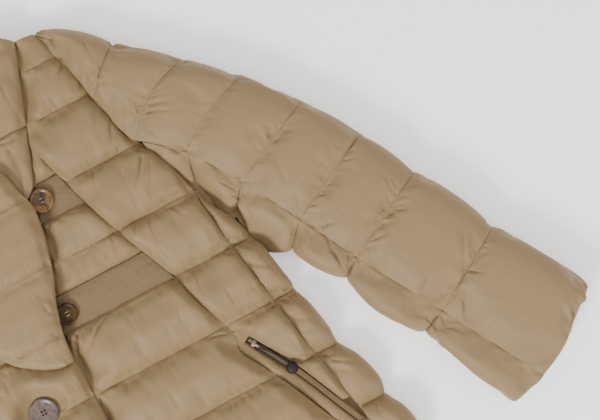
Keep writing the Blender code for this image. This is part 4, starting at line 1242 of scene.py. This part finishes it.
def rounded(node, width):
    """A copy of a frame piece with its flat faces joined and its edges rounded."""
    bm = node_solid(node)
    bmesh.ops.dissolve_limit(bm, angle_limit=radians(1), verts=bm.verts, edges=bm.edges)
    sharp = [e for e in bm.edges if len(e.link_faces) == 2 and e.calc_face_angle(0) > radians(25)]
    bmesh.ops.bevel(bm, geom=sharp, offset=width * MM, segments=3, profile=0.5, affect="EDGES",
                    clamp_overlap=True)
    return bm


for side_name, _ in SIDES:
    node = f"{side_name}_slider"
    add_piece(f"{side_name}_zip_slider", rounded(node, SLIDER_EDGE), zip_metal, node, slot="slider_metal")

# ---------------------------------------------------------------- pulls
# A moulded pull hangs in the arch: two round strands that end in a ball grip, in slate brown plastic.

STRAND_EDGE = 0.6
GRIP_RADIUS = 6.2


def plastic(name, light, dark, scale, roughness, gloss):
    """Hard plastic whose colour drifts between two tones."""
    material = new_material(name, Roughness=roughness, Specular_IOR_Level=gloss)
    drift = add_noise(material, Scale=scale, Detail=4.0, Roughness=0.6, Distortion=1.2)
    spread = add_node(material, "ShaderNodeMapRange", From_Min=0.35, From_Max=0.65, Value=drift)
    colour_between(material, spread.outputs["Result"], light, dark)
    return material


pull_plastic = plastic("pull_plastic", (0.019, 0.0155, 0.0145, 1), (0.012, 0.010, 0.009, 1), 200, 0.65, 0.25)

for side_name, _ in SIDES:
    node = f"{side_name}_pull"
    bm = rounded(node, STRAND_EDGE)
    grip_end = min(bm.verts, key=lambda v: v.co.y).co.y + GRIP_RADIUS * MM
    around = [v.co for v in bm.verts if abs(v.co.y - grip_end) < GRIP_RADIUS * MM and v.co.z > 24 * MM]
    grip = Vector([(max(c[i] for c in around) + min(c[i] for c in around)) / 2 for i in range(3)])
    ball = bmesh.ops.create_icosphere(bm, subdivisions=4, radius=(GRIP_RADIUS + 0.1) * MM)["verts"]
    bmesh.ops.translate(bm, verts=ball, vec=grip)
    add_piece(f"{side_name}_zip_pull", bm, pull_plastic, node, f"pull_{side_name}", "pull_plastic")

# ---------------------------------------------------------------- buttons
# Seven turned buttons with a raised rim and four holes, sewn on with thread: a mottled horn one and a dark
# brown one on the free left front, and five grey-beige ones that close the front.

BUTTON_THICKNESS = 3.6
HOLE_RADIUS = 1.05
HOLE_SPREAD = 2.6
# The sunk middle's height, as a share of the thickness, and the profile from it over the rim, as shares.
DISC_TOP = 0.66
BUTTON_PROFILE = ((0, 0), (0.84, 0), (0.95, 0.22), (1.0, 0.55), (0.99, 0.80), (0.95, 0.95), (0.90, 1.0),
                  (0.84, 0.97), (0.78, 0.82), (0.73, 0.72), (0.66, 0.69), (0.30, DISC_TOP), (0, DISC_TOP))
# A strand of thread: its thickness, how far apart strands lie and how deep they sink, in how many parts it
# bends, and where it ends, against the hole's distance.
STRAND, STRAND_APART, STRAND_SUNK = 0.4, 0.42, 0.35
STRAND_PARTS, STRAND_END = 7, 1.25
ButtonLook = namedtuple("ButtonLook", "slot light dark scale roughness gloss")
BUTTON_LOOKS = {
    "amber": ButtonLook("button_amber", (0.24, 0.115, 0.032, 1), (0.022, 0.014, 0.009, 1), 70, 0.22, 0.35),
    "brown": ButtonLook("button_brown", (0.072, 0.038, 0.010, 1), (0.018, 0.010, 0.003, 1), 90, 0.4, 0.14),
    "grey": ButtonLook("button_grey", (0.140, 0.102, 0.082, 1), (0.058, 0.044, 0.039, 1), 110, 0.3, 0.4),
}
horns = {look: plastic(f"horn_{look}", *BUTTON_LOOKS[look][1:]) for look in BUTTON_LOOKS}
# The free buttons' thread is pale and arches over the disc, and the closed ones' is dark and sunk in it,
# where its near-black colour also paints the shade in their holes.
THREAD_WEAVE = (0.3, 0.8, 0.1, 0.5, 0.0)
pale_thread = cloth("pale_thread", (0.32, 0.25, 0.16, 1), (0.26, 0.20, 0.13, 1), *THREAD_WEAVE)
thread_and_hole_shade = cloth("thread_and_hole_shade", (0.020, 0.015, 0.012, 1), (0.014, 0.010, 0.008, 1), *THREAD_WEAVE)


def turned_button(name, centre, radius, material, slot):
    """A disc turned from its profile, with four holes drilled through."""
    bm = bmesh.new()
    rim = [bm.verts.new((r * radius, 0, z * BUTTON_THICKNESS * MM)) for r, z in BUTTON_PROFILE]
    profile = [bm.edges.new(pair) for pair in zip(rim, rim[1:])]
    bmesh.ops.spin(bm, geom=rim + profile, cent=(0, 0, 0), axis=UP, angle=2 * pi, steps=48, use_merge=True)
    bmesh.ops.remove_doubles(bm, verts=bm.verts, dist=0.01 * MM)
    bmesh.ops.recalc_face_normals(bm, faces=bm.faces)
    bmesh.ops.translate(bm, verts=bm.verts, vec=centre)
    disc = add_piece(name, bm, material, name.removeprefix("turned_"), slot=slot)
    drill = bmesh.new()
    for i in range(4):
        offset = Vector((cos(pi / 4 + i * pi / 2), sin(pi / 4 + i * pi / 2), 0)) * HOLE_SPREAD * MM
        bmesh.ops.create_cone(drill, cap_ends=True, segments=16, depth=20 * MM, radius1=HOLE_RADIUS * MM,
                              radius2=HOLE_RADIUS * MM, matrix=Matrix.Translation(centre + offset))
    cutter = add_object("drill", drill)
    holes = disc.modifiers.new("holes", "BOOLEAN")
    holes.operation = "DIFFERENCE"
    holes.object = cutter
    give_back(applied(disc), disc)
    bpy.data.objects.remove(cutter)
    disc.data.shade_smooth()
    disc.data.set_sharp_from_angle(angle=radians(40))


def sew_on(name, centre, thread, arch):
    """Two bars of three strands through a button's holes, which stand over it by the arch in millimetres."""
    bm = bmesh.new()
    hole = HOLE_SPREAD / sqrt(2)
    bends = [mix(-STRAND_END, STRAND_END, k / STRAND_PARTS) for k in range(STRAND_PARTS + 1)]
    for row in (-1, 1):
        for strand in (-1, 0, 1):
            points = []
            for bend in bends:
                rise = DISC_TOP * BUTTON_THICKNESS + arch * cos(pi / 2 * bend / STRAND_END) - STRAND_SUNK
                spot = Vector((bend * hole, row * hole + strand * STRAND_APART, rise))
                points.append(centre + spot * MM)
            for start, end in zip(points, points[1:]):
                along = end - start
                add_box(bm, (start + end) / 2, along.normalized(), (along.length / MM + 0.1, STRAND, STRAND))
    add_trim(name, bm, thread)


for number in range(1, 8):
    look = {1: "amber", 2: "brown"}.get(number, "grey")
    node = f"button_{number}"
    corners = [v.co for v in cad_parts[node].data.vertices]
    low, high = (Vector([f(c[i] for c in corners) for i in range(3)]) for f in (min, max))
    centre = Vector(((low.x + high.x) / 2, (low.y + high.y) / 2, low.z))
    turned_button(f"turned_{node}", centre, (high.x - low.x) / 2, horns[look], BUTTON_LOOKS[look].slot)
    # A closed button's sunk near-black thread shows in its four holes as painted shade.
    thread, arch = (thread_and_hole_shade, -0.5) if look == "grey" else (pale_thread, 0.75)
    sew_on(f"{node}_thread", centre, thread, arch)

# ---------------------------------------------------------------- stage
# A plain pale floor under an even white sky. A strong soft light stands past the hem on the wearer's right,
# and a weak one on the left.

FLOOR_REACH = 6
SKY_STRENGTH = 1.2
paper = new_material("pale_paper", Base_Color=(0.97, 0.97, 0.97, 1), Emission_Color=(1, 1, 1, 1),
                     Emission_Strength=0.35, Roughness=0.8)
floor_bm = bmesh.new()
bmesh.ops.create_grid(floor_bm, x_segments=1, y_segments=1, size=FLOOR_REACH)
add_object("floor", floor_bm, paper)

world = bpy.data.worlds.new("studio")
world.use_nodes = True
sky = world.node_tree.nodes["Background"]
sky.inputs["Color"].default_value = (1, 1, 1, 1)
sky.inputs["Strength"].default_value = SKY_STRENGTH
bpy.context.scene.world = world


def softbox(name, location, aim, size, power):
    """A square area light in metres and watts."""
    light = bpy.data.lights.new(name, "AREA")
    light.size = size
    light.energy = power
    lamp = bpy.data.objects.new(name, light)
    lamp.location = location
    lamp.rotation_euler = (Vector(aim) - Vector(location)).to_track_quat("-Z", "Y").to_euler()
    bpy.context.scene.collection.objects.link(lamp)


softbox("key", (-1.6, -1.0, 1.75), (0.3, 0.25, 0), 0.7, 86)
softbox("fill", (1.3, -0.9, 1.2), (0.4, 0.1, 0), 0.8, 9)

VIEW_CENTRE = Vector((0.320, NECK_Y - 0.2824, 0.020))
VIEW_TURN = -28
VIEW_WIDTH = 0.600
LENS, SENSOR = 100, 36
camera_data = bpy.data.cameras.new("camera")
camera_data.lens = LENS
camera_data.sensor_width = SENSOR
camera = bpy.data.objects.new("camera", camera_data)
camera.location = VIEW_CENTRE + UP * VIEW_WIDTH * LENS / SENSOR
camera.rotation_euler = (0, 0, radians(VIEW_TURN))
bpy.context.scene.collection.objects.link(camera)
bpy.context.scene.camera = camera

bpy.context.view_layer.update()
